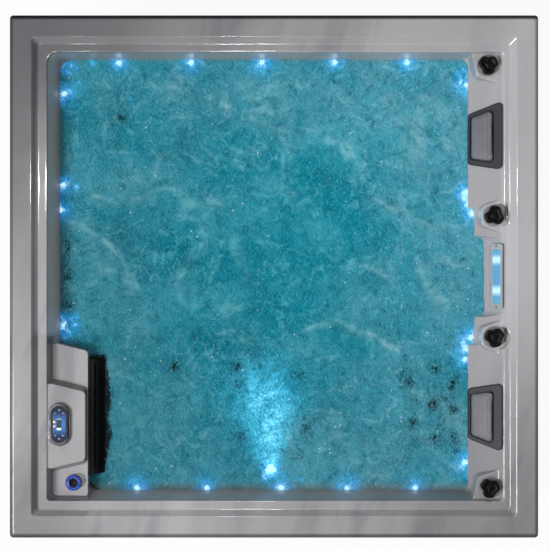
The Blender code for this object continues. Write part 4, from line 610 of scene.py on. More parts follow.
def bubbling_water():
    """Aerated turquoise water. Where its lamps' painted glow lies, and where it is foamy, deep or dark, is in
    the surface's own attributes.
    """
    made, place = new_material("bubbling_water")
    masks = {}
    for name in WATER_MASKS:
        masks[name] = node("Attribute", tree=made.node_tree, attribute_name=name)["Fac"]
    swirl = warped(place, 5.0, 0.12)
    churn = cloud(warped(swirl, 24.0, 0.03), 22.0, 7, 0.5, 0.68)
    fizz = cloud(stretched(swirl, (1, 0.5, 1), radians(35)), 170.0, 4, 0.3, 0.72)
    parts = separate(place)
    # Painted light and shade: the water darker to the left and front, lighter to the right and rear
    rightward = remap(parts["X"], -0.9, 0.8, 0.76, 1.08)
    shade = times(rightward, remap(parts["Y"], -0.9, 0.9, 0.9, 1.14))
    ripples = maths("ADD", times(churn, 0.8), times(fizz, 0.4))
    base = mixed(1.0, water_body(swirl, churn, fizz, masks), shade, "MULTIPLY")
    return finish(made, {
        # Painted highlights in the base colour
        "Base Color": mixed(painted_glints(place), base, rgb(232, 222, 226)),
        # The water's emission is painted glow of the lamps
        "Emission Color": painted_lamp_glow(churn, fizz, masks),
        "Emission Strength": 1.0,
        "Roughness": 0.14,
        "IOR": 1.33,
        "Specular IOR Level": 0.1,
    }, ripples, 0.7, 0.008)


def lit_plastic(name, body, core, strength, scale=None):
    """A clear moulding with lamps behind it: brighter patches, of the haze or of a size of their own."""
    made, place = new_material(name)
    haze = cloud(place, 60, 3)
    patches = remap(haze, 0.3, 0.7)
    if scale:
        patches = remap(cloud(stretched(place, scale), 6, 3), 0.38, 0.62)
    colour = mixed(patches, body, core)
    return finish(made, {
        "Base Color": colour,
        "Emission Color": colour,
        "Emission Strength": strength,
        "Roughness": remap(haze, 0.3, 0.7, 0.1, 0.22),
    })


def lit_bar():
    """The waterfall's lit lens: two bright patches over the lamps, and bluer between them."""
    made, place = new_material("waterfall_glow")
    parts = separate(place)
    strands = cloud(stretched(place, (160, 6, 60)), 1.0, 3)
    colour = mixed(remap(strands, 0.35, 0.65, 0.0, 0.55), rgb(66, 126, 172), rgb(110, 160, 192))
    off_lamp = apart(apart(parts["Y"], 0.006), 0.065)
    colour = mixed(remap(off_lamp, 0.03, 0.0), colour, rgb(176, 216, 224))
    ends = remap(maths("ABSOLUTE", parts["Y"]), 0.075, 0.11, 0.0, 0.8)
    colour = mixed(ends, colour, rgb(84, 150, 176))
    side = remap(apart(parts["X"], FALL_X), 0.0115, 0.016)
    colour = mixed(side, colour, rgb(168, 174, 180))
    return finish(made, {
        "Base Color": colour,
        "Emission Color": mixed(side, colour, grey(0)),
        "Emission Strength": 0.55,
        "Roughness": 0.15,
    })


def control_blue():
    """The control's lit blue face, darker towards its two ends."""
    made, place = new_material("control_blue")
    off = apart(separate(place)["Y"], CONTROL_Y)
    uneven = times(cloud(place, 90.0, 4), 0.02)
    share = remap(maths("ADD", off, uneven), 0.018, 0.068)
    return finish(made, {
        "Base Color": mixed(share, rgb(62, 112, 178), rgb(26, 34, 58)),
        "Emission Color": mixed(share, rgb(34, 74, 140), rgb(4, 8, 20)),
        "Emission Strength": 0.5,
        "Roughness": 0.22,
        "Coat Weight": 0.4,
    })


def display_glass():
    """The small display: dark green glass that is lit at both ends."""
    made, place = new_material("display_glass")
    off = maths("SUBTRACT", separate(place)["Y"], CONTROL_Y)
    lit = maths("ADD", remap(off, -0.012, -0.018), remap(off, 0.017, 0.023, 0.0, 0.5))
    return finish(made, {
        "Base Color": mixed(lit, rgb(58, 82, 84), rgb(216, 232, 214)),
        "Emission Color": mixed(lit, grey(0), rgb(150, 190, 150)),
        "Emission Strength": 0.6,
        "Roughness": remap(cloud(place, 60, 2), 0.3, 0.7, 0.06, 0.12),
    })


def cabinet_boards():
    """Grey composite boards with a stretched wood grain."""
    made, place = new_material("cabinet_boards")
    drawn_out = stretched(place, (1.2, 1.2, 26.0))
    grain = cloud(drawn_out, 6.0, 8, 0.5, 0.65)
    broad = cloud(drawn_out, 1.6, 3, 0.3)
    tone = mixed(remap(grain, 0.3, 0.7), rgb(62, 61, 63), rgb(98, 96, 97))
    tone = mixed(remap(broad, 0.3, 0.7, 0.0, 0.35), tone, rgb(74, 70, 68))
    values = {"Base Color": tone, "Roughness": remap(grain, 0.3, 0.7, 0.5, 0.72)}
    return finish(made, values, grain, 0.35, 0.0015)


def brushed(name, low, high, roughness):
    """Metal with fine streaks."""
    made, place = new_material(name)
    streaks = cloud(stretched(place, (1, 1, 40)), 30, 5)
    return finish(made, {
        "Base Color": mixed(remap(streaks, 0.3, 0.7), low, high),
        "Roughness": remap(streaks, 0.3, 0.7, roughness - 0.08, roughness + 0.08),
        "Metallic": 1.0,
    }, streaks)


def pale_floor():
    """A plain pale floor: near white to the camera, and dull where the tub's own gloss mirrors it."""
    made, place = new_material("pale_floor")
    tree = made.node_tree
    path = node("LightPath", tree=tree)
    mottled = mixed(remap(cloud(place, 3, 4), 0.3, 0.7), grey(0.76), grey(0.8))
    finish(made, {
        "Base Color": mixed(path["Is Glossy Ray"], mottled, grey(0.12)),
        "Roughness": 0.9,
        "Specular IOR Level": 0.0,
    })
    glow = node("Emission", {"Color": grey(1), "Strength": 1.0}, tree)[0]
    lit = tree.nodes["Principled BSDF"].outputs[0]
    blended = node("MixShader", {0: times(path["Is Camera Ray"], 0.94), 1: lit, 2: glow})[0]
    fill(tree.nodes["Material Output"].inputs, {"Surface": blended})
    return made


ACRYLIC = marble_acrylic()
WATER = bubbling_water()
BLACK = grained("satin_black", rgb(7, 7, 9), rgb(26, 26, 30), 0.38, 380.0, 0.08, wear=0.1, shine=0.13)
GRILLE_BLACK = grained("grille_black", rgb(8, 9, 11), rgb(22, 24, 26), 0.5, 300.0, 0.2, wear=0.1, shine=0.13)
FRAME_BLACK = grained("headrest_charcoal", rgb(40, 41, 49), rgb(60, 61, 68), 0.46, strength=0.2, wear=0.2)
PAD_GREY = grained("pad_grey", rgb(112, 112, 119), rgb(140, 140, 146), 0.58, 320.0, 0.35)
GREY_PLASTIC = grained("grey_moulding", rgb(132, 131, 134), rgb(160, 160, 163), 0.38, 350.0, 0.12)
BACKING = grained("valve_backing", rgb(112, 118, 114), rgb(140, 144, 140), 0.45, 350.0)
GEAR = grained("gear_grey", rgb(96, 99, 104), rgb(140, 142, 146), 0.5, strength=0.2)
JET_DARK = grained("jet_dark", rgb(34, 38, 42), rgb(90, 95, 98), 0.3, 350.0, coat=0.3)
PIPE_WHITE = grained("pipe_white", rgb(214, 213, 208), rgb(230, 229, 226), 0.4)
TRIM = grained("corner_trim", rgb(50, 50, 52), rgb(84, 84, 86), 0.55, 260.0, 0.3)
CHROME = brushed("polished_chrome", rgb(196, 198, 204), rgb(226, 228, 232), 0.13)
STEEL = brushed("galvanised_steel", rgb(140, 143, 148), rgb(182, 185, 190), 0.42)
SCREW_STEEL = grained("screw_head", rgb(84, 104, 112), rgb(130, 144, 150), 0.34, metallic=0.6)
BOARDS = cabinet_boards()
FALL_LIGHT = lit_bar()
LAMP_LENS = lit_plastic("lamp_lens", rgb(120, 215, 255), rgb(235, 250, 255), 1.6)
POINT_LENS = lit_plastic("point_lens", rgb(120, 200, 255), rgb(240, 250, 255), 1.8)
RING_GLOW = lit_plastic("ring_glow", rgb(18, 28, 96), rgb(70, 98, 196), 0.2, (60, 60, 60))
CLEAR_FRAME = grained("clear_frame", rgb(172, 174, 178), rgb(192, 194, 198), 0.14, strength=0.05, coat=0.3)
FACE_BLUE = control_blue()
BUTTON_BLUE = grained("button_blue", rgb(84, 104, 152), rgb(170, 186, 220), 0.22, strength=0.05, coat=0.8)
DISPLAY = display_glass()
AMBER = lit_plastic("amber_lamp", rgb(240, 120, 24), rgb(255, 214, 120), 0.9)


def shell_pieces():
    """The acrylic moulding: its upper part with every edge softly radiused, and the basin under the water."""
    upper = merged_copy("acrylic_shell", "moulded_rim")
    lower = copy_of(upper, "moulded_basin")
    for obj, above in ((upper, True), (lower, False)):
        edit(obj, "VERT")
        cut = {"plane_co": (0, 0, UPPER_SHELL_Z), "plane_no": (0, 0, 1), "use_fill": True}
        bpy.ops.mesh.bisect(clear_inner=above, clear_outer=not above, **cut)
        leave()
    apply(upper, "REMESH", mode="VOXEL", voxel_size=SHELL_VOXEL)
    apply(upper, "SMOOTH", factor=0.6, iterations=1)
    apply(upper, "DECIMATE", ratio=SHELL_TRIANGLES / (2 * len(upper.data.polygons)))
    for obj, angle in ((upper, 60), (lower, 30)):
        dress(obj, ACRYLIC, angle, "acrylic_shell")


def pixel_spot(px, py):
    """The point on the water that the photograph shows at a pixel."""
    span = PIXEL * (CAMERA_RISE + RIM_Z - WATER_Z) / CAMERA_RISE
    return (px - MIDDLE_X_PX) * span, (MIDDLE_Y_PX - py) * span


# Spots in the water that were read off the photograph, in pixels: points of painted lamp glow, painted lit
# patches as (x, y, size in metres, strength), small gloomy ones as (x, y, pixels), the main lamp and its
# painted beam, jets, foam, milky and clearer ones
POINTS_PX = (
    (119, 62.5), (191, 62.5), (262, 62.5), (335, 62.5), (407, 62.5),
    (64, 94), (63, 185), (60.5, 210),
    (466, 85), (466, 193), (472, 213), (471, 337), (465, 359), (465, 462),
    (137, 488), (207, 488), (281, 488), (347, 488), (415, 488),
)
PAINTED_GLOWS_PX = (
    (64, 327, 0.052, 0.62), (74, 320, 0.03, 0.25), (63, 63, 0.03, 0.4), (72, 68, 0.03, 0.22),
    (92, 64, 0.01, 0.8), (80, 82, 0.01, 0.3), (76, 186, 0.018, 0.22), (90, 182, 0.014, 0.16),
    (462, 72, 0.024, 0.2), (461, 190, 0.02, 0.35), (468, 202, 0.024, 0.45), (462, 84, 0.018, 0.35),
    (124, 100, 0.03, 0.05), (466, 345, 0.026, 0.3), (470, 352, 0.018, 0.3), (462, 472, 0.03, 0.12),
    (264, 476, 0.018, 0.4), (244, 470, 0.014, 0.12), (300, 480, 0.02, 0.1),
)
GLOOM_PX = (
    (296, 208, 3), (290, 192, 3), (253, 210, 2), (300, 196, 4), (195, 334, 8), (215, 345, 10), (250, 346, 9),
    (255, 400, 5), (244, 412, 4), (304, 420, 4), (120, 172, 5), (462, 262, 4), (100, 470, 4), (404, 372, 10),
    (415, 400, 8), (445, 395, 10), (440, 425, 9), (410, 440, 8), (455, 450, 6), (66, 260, 9), (66, 292, 8),
)
LAMP_PX = (270.6, 468.8)
PLUME_END_PX = (260, 350)
PLUME_HAZE_PX = (((264, 410), 0.16, 0.36), ((262, 384), 0.24, 0.22))
DARK_PX = (
    (434.8, 370.7), (453.9, 383.1), (433.2, 405.5), (454.7, 409.7), (434.8, 438.7), (454.7, 438.7),
    (410, 383), (412, 425), (122, 118), (67, 246), (67.7, 276), (67.7, 307), (173, 367),
    (237, 367), (239, 386), (242, 436), (299, 375), (305, 428),
)
STREAKS_PX = (
    ((72, 222), (90, 230), (112, 246), (126, 266), (139, 292), (137, 318), (126, 346)),
    ((100, 268), (118, 272), (130, 290)),
    ((150, 194), (168, 186), (184, 194), (196, 208), (202, 222), (205, 246)),
    ((202, 190), (214, 200), (222, 204)),
    ((184, 214), (197, 222), (204, 236), (204, 248)),
    ((236, 240), (234, 252), (242, 268), (246, 278)),
    ((376, 200), (394, 206), (410, 214), (424, 226), (434, 228)),
    ((345, 150), (362, 158), (360, 170), (364, 182)),
    ((296, 128), (318, 134), (338, 142), (352, 156)),
    ((250, 118), (276, 128), (292, 150), (282, 186), (262, 210)),
    ((124, 152), (132, 166), (134, 176)), ((160, 156), (156, 172), (150, 184)),
    ((206, 98), (240, 108), (272, 112)), ((96, 196), (118, 204), (142, 198)),
    ((350, 262), (374, 268), (392, 282)), ((398, 244), (418, 262), (428, 290), (446, 300)),
    ((190, 262), (176, 284), (184, 306)), ((300, 330), (340, 322), (372, 336), (400, 350)),
)
MILKY_PX = (
    (408, 92, 40), (440, 120, 36), (420, 165, 30), (300, 100, 36), (370, 80, 30), (452, 250, 26),
    (455, 300, 26), (360, 300, 24), (100, 300, 26), (90, 250, 22), (110, 370, 24), (180, 90, 26),
    (150, 420, 24), (120, 460, 22), (330, 440, 26), (380, 470, 30), (450, 420, 24), (250, 90, 26),
    (204, 206, 14),
)
SMOKED_PX = (
    (272, 210, 40), (330, 215, 34), (262, 262, 30), (190, 320, 34), (160, 240, 26), (300, 160, 24),
    (340, 350, 22), (205, 400, 26), (285, 300, 34),
)


def water_surface():
    """The rippled surface: a fine grid with a flat back, cut to the basin's outline."""
    columns, rows = (round(length / WATER_STEP) for length in WATER_SIZE)
    centre = (-0.008, 0.008, WATER_Z)
    deselect_all()
    bpy.ops.mesh.primitive_grid_add(x_subdivisions=columns, y_subdivisions=rows, size=1, location=centre)
    water = named("water")
    water.scale = (*WATER_SIZE, 1)
    settle(water)
    for vertex in water.data.vertices:
        vertex.co.z += ripple_height(vertex.co)
    edit(water, "EDGE", "DESELECT")
    bpy.ops.mesh.select_non_manifold()
    extrude(-WATER_THICKNESS / 2)
    bpy.ops.transform.resize(value=(1, 1, 0), center_override=(0, 0, WATER_Z - WATER_THICKNESS / 2))
    bpy.ops.mesh.edge_face_add()
    close_up()
    outline = plate("outline", filleted(WATER_EDGE), WATER_Z - WATER_THICKNESS, WATER_Z + WATER_THICKNESS)
    combine(water, outline, "INTERSECT")
    add_masks(water)
    dress(water, WATER, 60)


def ripple_height(spot):
    broad = noise.fractal(Vector((spot.x * 4, spot.y * 4, 0.3)), 0.9, 2.1, 3)
    fine = noise.fractal(Vector((spot.x * 19, spot.y * 19, 4.7)), 0.8, 2.2, 4)
    return 0.0035 * broad + 0.0034 * fine


def rough(spots, scale, seed):
    """Fractal noise at each spot, about -1 to 1."""
    places = [Vector((x * scale, y * scale, seed)) for x, y in spots]
    return np.array([noise.fractal(place, 0.85, 2.1, 4) for place in places])


def away_from(spots, place):
    return np.hypot(spots[:, 0] - place[0], spots[:, 1] - place[1])


def away_from_line(spots, start, end):
    """Distance from a line's stretch, and how far along it the nearest point is."""
    run = np.array(end) - np.array(start)
    share = np.clip((spots - np.array(start)) @ run / (run @ run), 0, 1)
    rest = spots - np.array(start) - share[:, None] * run
    return np.hypot(rest[:, 0], rest[:, 1]), share


def soft_spot(distance, size):
    return np.exp(-((distance / size) ** 2))


class Plan:
    """The water's vertices in plan, and the noise that breaks up the masks on them."""

    def __init__(self, spots):
        self.spots = spots
        self.small = rough(spots, 34, 1.0)
        self.middling = rough(spots, 11, 3.0)
        self.wide = rough(spots, 4.5, 7.0)
        self.bent = spots + 0.014 * np.stack([self.middling, rough(spots, 11, 5.0)], axis=1)

    def near(self, pixel, size):
        """1 at a pixel's place on the water, falling softly and unevenly over a size."""
        return soft_spot(away_from(self.bent, pixel_spot(*pixel)), size)


def painted_glow_mask(plan):
    """Painted glow round the points of light by the waterline, other painted lit patches, and round the main
    lamp.
    """
    glow = np.zeros(len(plan.spots))
    for i, pixel in enumerate(POINTS_PX):
        away = away_from(plan.spots, pixel_spot(*pixel))
        size = 0.034 + 0.007 * (i % 3)
        glow += 1.25 * soft_spot(away, 0.0085) + (0.44 + 0.26 * plan.small) * soft_spot(away, size)
        glow += (0.15 + 0.08 * plan.middling) * soft_spot(away, 0.085)
    for x, y, size, strength in PAINTED_GLOWS_PX:
        glow += (strength + 0.5 * plan.small) * plan.near((x, y), size)
    return glow + 1.3 * plan.near(LAMP_PX, 0.021) + (0.35 + 0.3 * plan.small) * plan.near(LAMP_PX, 0.05)


def painted_plume_mask(plan):
    """The main lamp's painted beam in the froth, widening and fading away from it."""
    lamp, end = (pixel_spot(*pixel) for pixel in (LAMP_PX, PLUME_END_PX))
    off, share = away_from_line(plan.bent, lamp, end)
    fading = np.clip(1 - ((share - 0.55) / 0.45), 0, 1)
    uneven = 1 + 0.3 * plan.middling + 0.12 * plan.small
    plume = (1.1 - 0.42 * share) * soft_spot(off, 0.034 + 0.115 * share ** 0.7) * uneven * fading
    for pixel, size, strength in PLUME_HAZE_PX:
        plume += strength * plan.near(pixel, size)
    return plume


def foam_mask(plan):
    """Drifting streaks of foam, and milky patches."""
    foam = np.zeros(len(plan.spots))
    for line in STREAKS_PX:
        points = [pixel_spot(*pixel) for pixel in line]
        nearest = np.min([away_from_line(plan.bent, a, b)[0] for a, b in zip(points, points[1:])], axis=0)
        width = np.maximum(0.004, 0.011 + 0.008 * plan.wide)
        foam += np.clip(0.32 + 0.6 * plan.middling + 0.3 * plan.small, 0, 0.8) * soft_spot(nearest, width)
        foam += 0.15 * np.clip(0.5 + plan.middling, 0, 1) * soft_spot(nearest, 0.038)
    milky = np.clip(0.17 + 0.28 * plan.wide + 0.2 * plan.middling, 0, 0.5)
    for x, y, size in MILKY_PX:
        foam += milky * plan.near((x, y), size * PIXEL)
    return foam


def deep_mask(plan):
    """Where the water is clearer and darker: to the left, in the middle and in a few patches."""
    deep = 0.3 + 0.4 * plan.wide - 0.24 * plan.spots[:, 0]
    deep += 0.85 * soft_spot(away_from(plan.spots, (0.03, 0.1)), 0.42)
    for x, y, size in SMOKED_PX:
        deep += 0.35 * plan.near((x, y), size * PIXEL)
    return deep


def dark_mask(plan):
    """The jets as dark spots, small gloomy patches, and painted shade under the grille, with a ragged edge.
    """
    dark = np.zeros(len(plan.spots))
    for pixel in DARK_PX:
        dark += (0.78 + 0.7 * plan.small) * plan.near(pixel, 0.021) + 0.2 * plan.near(pixel, 0.042)
    for x, y, size in GLOOM_PX:
        dark += np.clip(0.35 + 0.5 * plan.small, 0, 1) * plan.near((x, y), size * PIXEL)
    # Painted shade under the grille, over the water, with a ragged edge
    off = plan.spots[:, 1] - GRILLE_Y
    along = np.clip(off / (GRILLE_HALF + 0.005), -1, 1)
    edge = -0.724 + 0.013 * (1 - along ** 2) - 0.03 * np.clip((-along - 0.72) / 0.28, 0, 1)
    x_off = np.maximum(0, plan.bent[:, 0] - edge) + 9 * (plan.spots[:, 0] < -0.83)
    y_off = np.maximum(0, np.abs(off) - GRILLE_HALF)
    return dark + (2.8 + 1.4 * plan.small) * np.exp(-((x_off / 0.011) ** 2) - (y_off / 0.01) ** 2)


def wall_mask(plan, glow):
    """Strips along three walls where their grey shows through, away from the lamps."""
    x, y = plan.spots.T
    front = soft_spot(y - BASIN_FRONT_Y, 0.026) * (x < 0.83)
    sides = soft_spot(x - BASIN_LEFT_X, 0.008) + soft_spot(y - BASIN_REAR_Y, 0.01)
    return np.clip((0.85 + 0.3 * plan.small) * front + 0.45 * sides, 0, 0.9) * (1 - np.clip(glow, 0, 1))


def add_masks(water):
    """Attributes that say where the lamps' painted glow lies, where foam lies, where water is deep or dark,
    and where walls show through.
    """
    vertices = water.data.vertices
    places = np.empty(len(vertices) * 3)
    vertices.foreach_get("co", places)
    plan = Plan(places.reshape(-1, 3)[:, :2])
    glow = painted_glow_mask(plan)
    masks = (glow, painted_plume_mask(plan), foam_mask(plan), deep_mask(plan), dark_mask(plan), wall_mask(plan, glow))
    for (name, limit), values in zip(WATER_MASKS.items(), masks):
        attribute = water.data.attributes.new(name, "FLOAT", "POINT")
        attribute.data.foreach_set("value", np.clip(values, 0, limit).astype(np.float32))


def knobs():
    """Three-lobed diverter knobs: a rounded crown with a shallow dish inside a raised rim, a low boss in its
    middle, and a bore from below.
    """
    outline = []
    for i in range(KNOB_STEPS):
        angle = 2 * pi * i / KNOB_STEPS
        reach = 1 + KNOB_WAVE * cos(KNOB_LOBES * angle) - KNOB_WAIST * cos(2 * KNOB_LOBES * angle)
        outline.append((reach * cos(angle), reach * sin(angle)))
    profile = (
        (0.0362, 0), (0.0372, 0.0006), (0.0375, 0.002), (0.0375, 0.0205), (0.0371, 0.0228), (0.0358, 0.0247),
        (0.0338, 0.0257), (0.031, 0.026), (0.0262, 0.0258), (0.0244, 0.0249), (0.0226, 0.0236),
        (0.014, 0.0231), (0.0118, 0.0236), (0.01, 0.0247), (0.006, 0.0252),
    )
    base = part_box("rear_valve_handle")[0].z
    first = turned("knob", profile, outline=outline)
    combine(first, turned("bore", ((0.0093, -0.002), (0.0093, 0.0182)), 32))
    for name, x, y, turn in VALVES:
        knob = copy_of(first, f"{name}_knob")
        put(knob, (x, y, base), turn=turn)
        dress(knob, BLACK, 40, f"{name}_valve_handle")
    bpy.data.objects.remove(first)


def shoulder_z(x):
    """Height of the sloped shoulder that carries the headrests."""
    return WATER_Z + (x - SHOULDER_X) * (TIER_Z - WATER_Z) / SHOULDER_RUN


def fall_slope_z(x):
    """Height of the steeper slope that carries the waterfall."""
    return WATER_Z + (x - FALL_FOOT_X) * (TIER_Z - WATER_Z) / FALL_RUN


def swell(pad):
    """Fills a cushion with air in a cloth simulation, and holds it to its swell."""
    rest = [vertex.co.copy() for vertex in pad.data.vertices]
    centre = sum(rest, Vector()) / len(rest)
    for vertex in pad.data.vertices:
        vertex.co = centre + (vertex.co - centre) * 0.985
    cloth = pad.modifiers.new("swell", "CLOTH")
    cloth.settings.use_pressure = True
    cloth.settings.uniform_pressure_force = 4
    cloth.settings.effector_weights.gravity = 0
    scene = bpy.context.scene
    for step in range(1, PAD_FRAMES + 1):
        scene.frame_set(step)
    use(pad)
    bpy.ops.object.modifier_apply(modifier=cloth.name)
    scene.frame_set(1)
    for vertex, home in zip(pad.data.vertices, rest):
        move = vertex.co - home
        if move.length > PAD_SWELL:
            vertex.co = home + move.normalized() * PAD_SWELL


def headrest_pads():
    """Moulded cushions: swollen by air, then drawn in along a groove inside the wall-side roll."""
    wall_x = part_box("rear_headrest_pad")[1].x
    pad = merged_copy("rear_headrest_pad", "rear_cushion")
    apply(pad, "REMESH", mode="VOXEL", voxel_size=PAD_VOXEL)
    swell(pad)
    for vertex in pad.data.vertices:
        crest = max(0, min(1, (vertex.co.z - shoulder_z(vertex.co.x) - 0.016) / 0.006))
        roll = (vertex.co.x - (wall_x - 0.017)) / 0.006
        groove = (vertex.co.x - (wall_x - 0.027)) / 0.0045
        vertex.co.z += crest * (0.0026 * np.exp(-roll * roll) - 0.0022 * np.exp(-groove * groove))
    apply(pad, "SMOOTH", factor=0.5, iterations=2)
    apply(pad, "SUBSURF", levels=1, render_levels=1)
    floor = min(vertex.co.z - shoulder_z(vertex.co.x) for vertex in pad.data.vertices)
    for vertex in pad.data.vertices:
        vertex.co.z += max(0, PAD_LIFT - floor) * 0.5
    front = copy_of(pad, "front_cushion")
    for vertex in front.data.vertices:
        vertex.co.y = -vertex.co.y
    edit(front, "FACE")
    close_up()
    for cushion, replaced in ((pad, "rear_headrest_pad"), (front, "front_headrest_pad")):
        dress(cushion, PAD_GREY, 70, replaced)


def control_face_pieces():
    """What lies on the control's face: its lit sheet with drawn-in sides, the display and two lamps."""
    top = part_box("control_face")[1].z
    sides = []
    for way in (-1, 1):
        for i in range(13):
            along = way * CONTROL_HALF_Y * (1 - i / 6)
            reach = CONTROL_HALF_X - CONTROL_WAIST * cos(along / CONTROL_HALF_Y * pi / 2) ** 2
            sides.append((CONTROL_FACE_X + way * reach, CONTROL_Y + along))
    sheet = plate("lit_face", sides, top + 0.0001, top + 0.0006)
    left, right = CONTROL_FACE_X - 0.0105, CONTROL_FACE_X + 0.0085
    front, rear = CONTROL_Y - 0.024, CONTROL_Y + 0.024
    corners = [(x, y, 0.002) for x, y in ((left, front), (right, front), (right, rear), (left, rear))]
    display = plate("display", filleted(corners), top + 0.0006, top + 0.0012)
    dress(sheet, FACE_BLUE)
    dress(display, DISPLAY)
    for i, along in enumerate((0.01, -0.008)):
        profile = ((0.0042, 0), (0.0042, 0.0006), (0.0026, 0.0011), (0.0008, 0.0013))
        lamp = turned(f"indicator_{i + 1}", profile, 24)
        put(lamp, (CONTROL_FACE_X - 0.0208, CONTROL_Y + along, top + 0.0006))
        dress(lamp, AMBER, 50)


def oval(x, y, half_x, half_y):
    """The plan points of a long oval about a middle."""
    corners = ((-1, -1), (1, -1), (1, 1), (-1, 1))
    return filleted([(x + a * half_x, y + b * half_y, half_x * 0.98) for a, b in corners], 16)


def bezel_inlay():
    """The dark line inside the control's bright rim, wider on its right."""
    low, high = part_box("control_bezel")
    x, y = (low.x + high.x) / 2, (low.y + high.y) / 2
    half_x, half_y = (high.x - low.x) / 2, (high.y - low.y) / 2
    outer = oval(x, y, half_x - 0.0055, half_y - 0.0055)
    inner = oval(x - 0.0035, y, half_x - 0.0092, half_y - 0.0075)
    inlay = plate("bezel_inlay", outer, high.z + 0.0001, high.z + 0.0005)
    combine(inlay, plate("hole", inner, high.z - 0.01, high.z + 0.01))
    dress(inlay, GRILLE_BLACK)


def underside(node_name):
    """The middle of a node's underside."""
    low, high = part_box(node_name)
    return Vector(((low.x + high.x) / 2, (low.y + high.y) / 2, low.z))


def button_caps():
    """A domed cap on each button, which moves with it."""
    profile = (
        (0.0064, 0), (0.0064, 0.002), (0.006, 0.0032), (0.0048, 0.0042), (0.0028, 0.0048), (0.0008, 0.005),
    )
    dome = turned("dome", profile, 32)
    for node_name in BUTTONS:
        button = put(copy_of(dome, node_name.replace("button", "cap")), underside(node_name))
        dress(button, BUTTON_BLUE, 60, node_name)
    bpy.data.objects.remove(dome)


def ring_valve():
    """The lit air valve on the ledge: a dished black hub in a blue ring, over an offset backing plate."""
    spot = underside("ring_valve_cap")
    hub = turned("air_hub", (
        (0.0185, 0), (0.019, 0.01), (0.018, 0.0118), (0.015, 0.012), (0.013, 0.0104), (0.004, 0.0096),
    ))
    ring = ring_turned("air_ring", (
        (0.0193, 0.0002), (0.033, 0.0002), (0.033, 0.006), (0.0318, 0.0092), (0.0296, 0.0106),
        (0.0278, 0.0094), (0.0262, 0.0106), (0.0238, 0.0114), (0.0216, 0.0104), (0.0193, 0.0112),
    ))
    combine(hub, turned("bore", ((0.0074, -0.002), (0.0074, 0.0065)), 24))
    for piece, material, slot in ((hub, GRILLE_BLACK, "black"), (ring, RING_GLOW, "face")):
        put(piece, spot)
        dress(piece, material, 40, "ring_valve_cap")
    backing = turned("air_backing", ((0.031, 0.8285), (0.031, 0.83), (0.029, 0.8312)))
    put(backing, (spot[0] + 0.02, spot[1] + 0.009, 0))
    combine(backing, put(turned("hole", ((0.0364, 0.8), (0.0364, 0.86))), (spot[0], spot[1], 0)))
    dress(backing, BACKING, 40)


def waterfall_screws():
    """Two cross-headed screws at the ends of the waterfall's frame."""
    head = turned("head", ((0.004, 0), (0.004, 0.0012), (0.003, 0.002), (0.0012, 0.0023)), 24)
    for turn in (0, pi / 2):
        sides = ((-0.0026, -0.0005), (0.0026, -0.0005), (0.0026, 0.0005), (-0.0026, 0.0005))
        combine(head, put(plate("slot", sides, 0.0012, 0.004), (0, 0, 0), turn=turn))
    slope = Vector((-(TIER_Z - WATER_Z) / FALL_RUN, 0, 1)).normalized()
    for i, y in enumerate((FALL_SCREW_Y, -FALL_SCREW_Y)):
        screw = copy_of(head, f"fall_screw_{i + 1}")
        put(screw, (FALL_SCREW_X, y, fall_slope_z(FALL_SCREW_X) + 0.0222), slope)
        dress(screw, SCREW_STEEL, 30)
    bpy.data.objects.remove(head)


def carried_over():
    """Finishes of the nodes that keep their own shape, each by the first line with a word of its name."""
    finishes = (
        (BOARDS, "panel"),
        (TRIM, "corner_trim base_pan floor_support"),
        (STEEL, "support_frame heater"),
        (PIPE_WHITE, "filter_cartridge jet_manifold suction_pipe"),
        (GEAR, "light_housing suction_fitting floor_drain pump_motor control_pack"),
        (BLACK, "pump_wet_end air_blower"),
        (GRILLE_BLACK, "skimmer weir_flap"),
        (BACKING, "ring_valve_body"),
        (GREY_PLASTIC, "valve_body"),
        (JET_DARK, "jet_face control_face"),
        (CHROME, "control_bezel"),
        (FRAME_BLACK, "headrest_frame"),
        (CLEAR_FRAME, "waterfall_frame"),
        (FALL_LIGHT, "waterfall_light_bar"),
        (LAMP_LENS, "underwater_light_lens"),
        (POINT_LENS, "led_string"),
    )
    for name, obj in NODES.items():
        fitting = [material for material, words in finishes if any(word in name for word in words.split())]
        if fitting and not obj.hide_render:
            finished(obj, fitting[0])


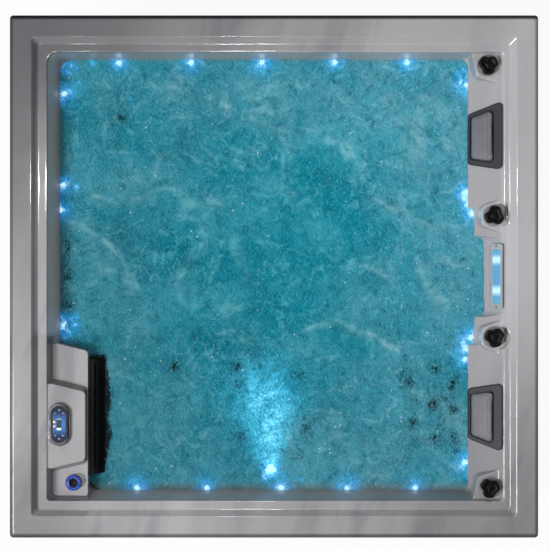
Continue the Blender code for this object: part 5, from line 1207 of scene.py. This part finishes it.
def soft_room():
    """A dim room to the tub, brighter on the left and overhead, and white to the camera."""
    world = bpy.data.worlds.new("soft_room")
    bpy.context.scene.world = world
    world.use_nodes = True
    tree = world.node_tree
    parts = separate(node("TexCoord", tree=tree)["Generated"])
    rightward = remap(parts["X"], -0.9, 0.9)
    horizon = mixed(rightward, grey(0.24), grey(0.06))
    overhead = mixed(rightward, grey(0.36), grey(0.26))
    sky = mixed(remap(parts["Z"], 0.15, 0.75), horizon, overhead)
    seen = node("LightPath", tree=tree)["Is Camera Ray"]
    fill(tree.nodes["Background"].inputs, {"Color": mixed(seen, sky, grey(1)), "Strength": 1.0})


def set_stage():
    deselect_all()
    bpy.ops.mesh.primitive_plane_add(size=60, location=(0, 0, 0))
    floor = settle(named("floor"))
    floor.data.materials.append(pale_floor())
    soft_room()
    add_area("key_panel", (-5.8, -2.7, 7.7), (0, 0, RIM_Z), 3.2, 3.2, 700)
    add_area("overhead", (0.2, 0.0, 4.8), (0, 0, RIM_Z), 2.4, 2.4, 20)
    add_area("strip_light", (-0.205, 0.6, 4.0), (-0.205, 0.6, RIM_Z), 0.42, 0.25, 32, lights_up=False)
    add_area("small_light", (-1.24, 0.6, 4.0), (-1.24, 0.6, RIM_Z), 0.1, 0.1, 8, lights_up=False)
    add_area("right_fill", (3.6, 1.0, 3.4), (0, 0, 0.8), 2.0, 2.0, 8)


def add_area(name, spot, target, width, depth, power, lights_up=True):
    """A soft panel. One that lights nothing up only shows as a shine on polished edges."""
    light = bpy.data.lights.new(name, "AREA")
    light.shape = "RECTANGLE"
    light.size = width
    light.size_y = depth
    light.energy = power
    obj = bpy.data.objects.new(name, light)
    bpy.context.scene.collection.objects.link(obj)
    obj.location = spot
    obj.rotation_mode = "QUATERNION"
    obj.rotation_quaternion = (Vector(target) - Vector(spot)).to_track_quat("-Z", "Y")
    obj.visible_diffuse = lights_up


def set_camera():
    data = bpy.data.cameras.new("camera")
    camera = bpy.data.objects.new("camera", data)
    bpy.context.scene.collection.objects.link(camera)
    data.sensor_width = SENSOR
    data.lens = SENSOR * CAMERA_RISE / RIM_SPAN
    half = FRAME_PX / 2
    camera.location = ((half - MIDDLE_X_PX) * PIXEL, (MIDDLE_Y_PX - half) * PIXEL, RIM_Z + CAMERA_RISE)
    bpy.context.scene.camera = camera


set_camera()
shell_pieces()
water_surface()
knobs()
headrest_pads()
control_face_pieces()
bezel_inlay()
button_caps()
ring_valve()
waterfall_screws()
carried_over()
set_stage()
bpy.context.scene.view_settings.view_transform = "Standard"
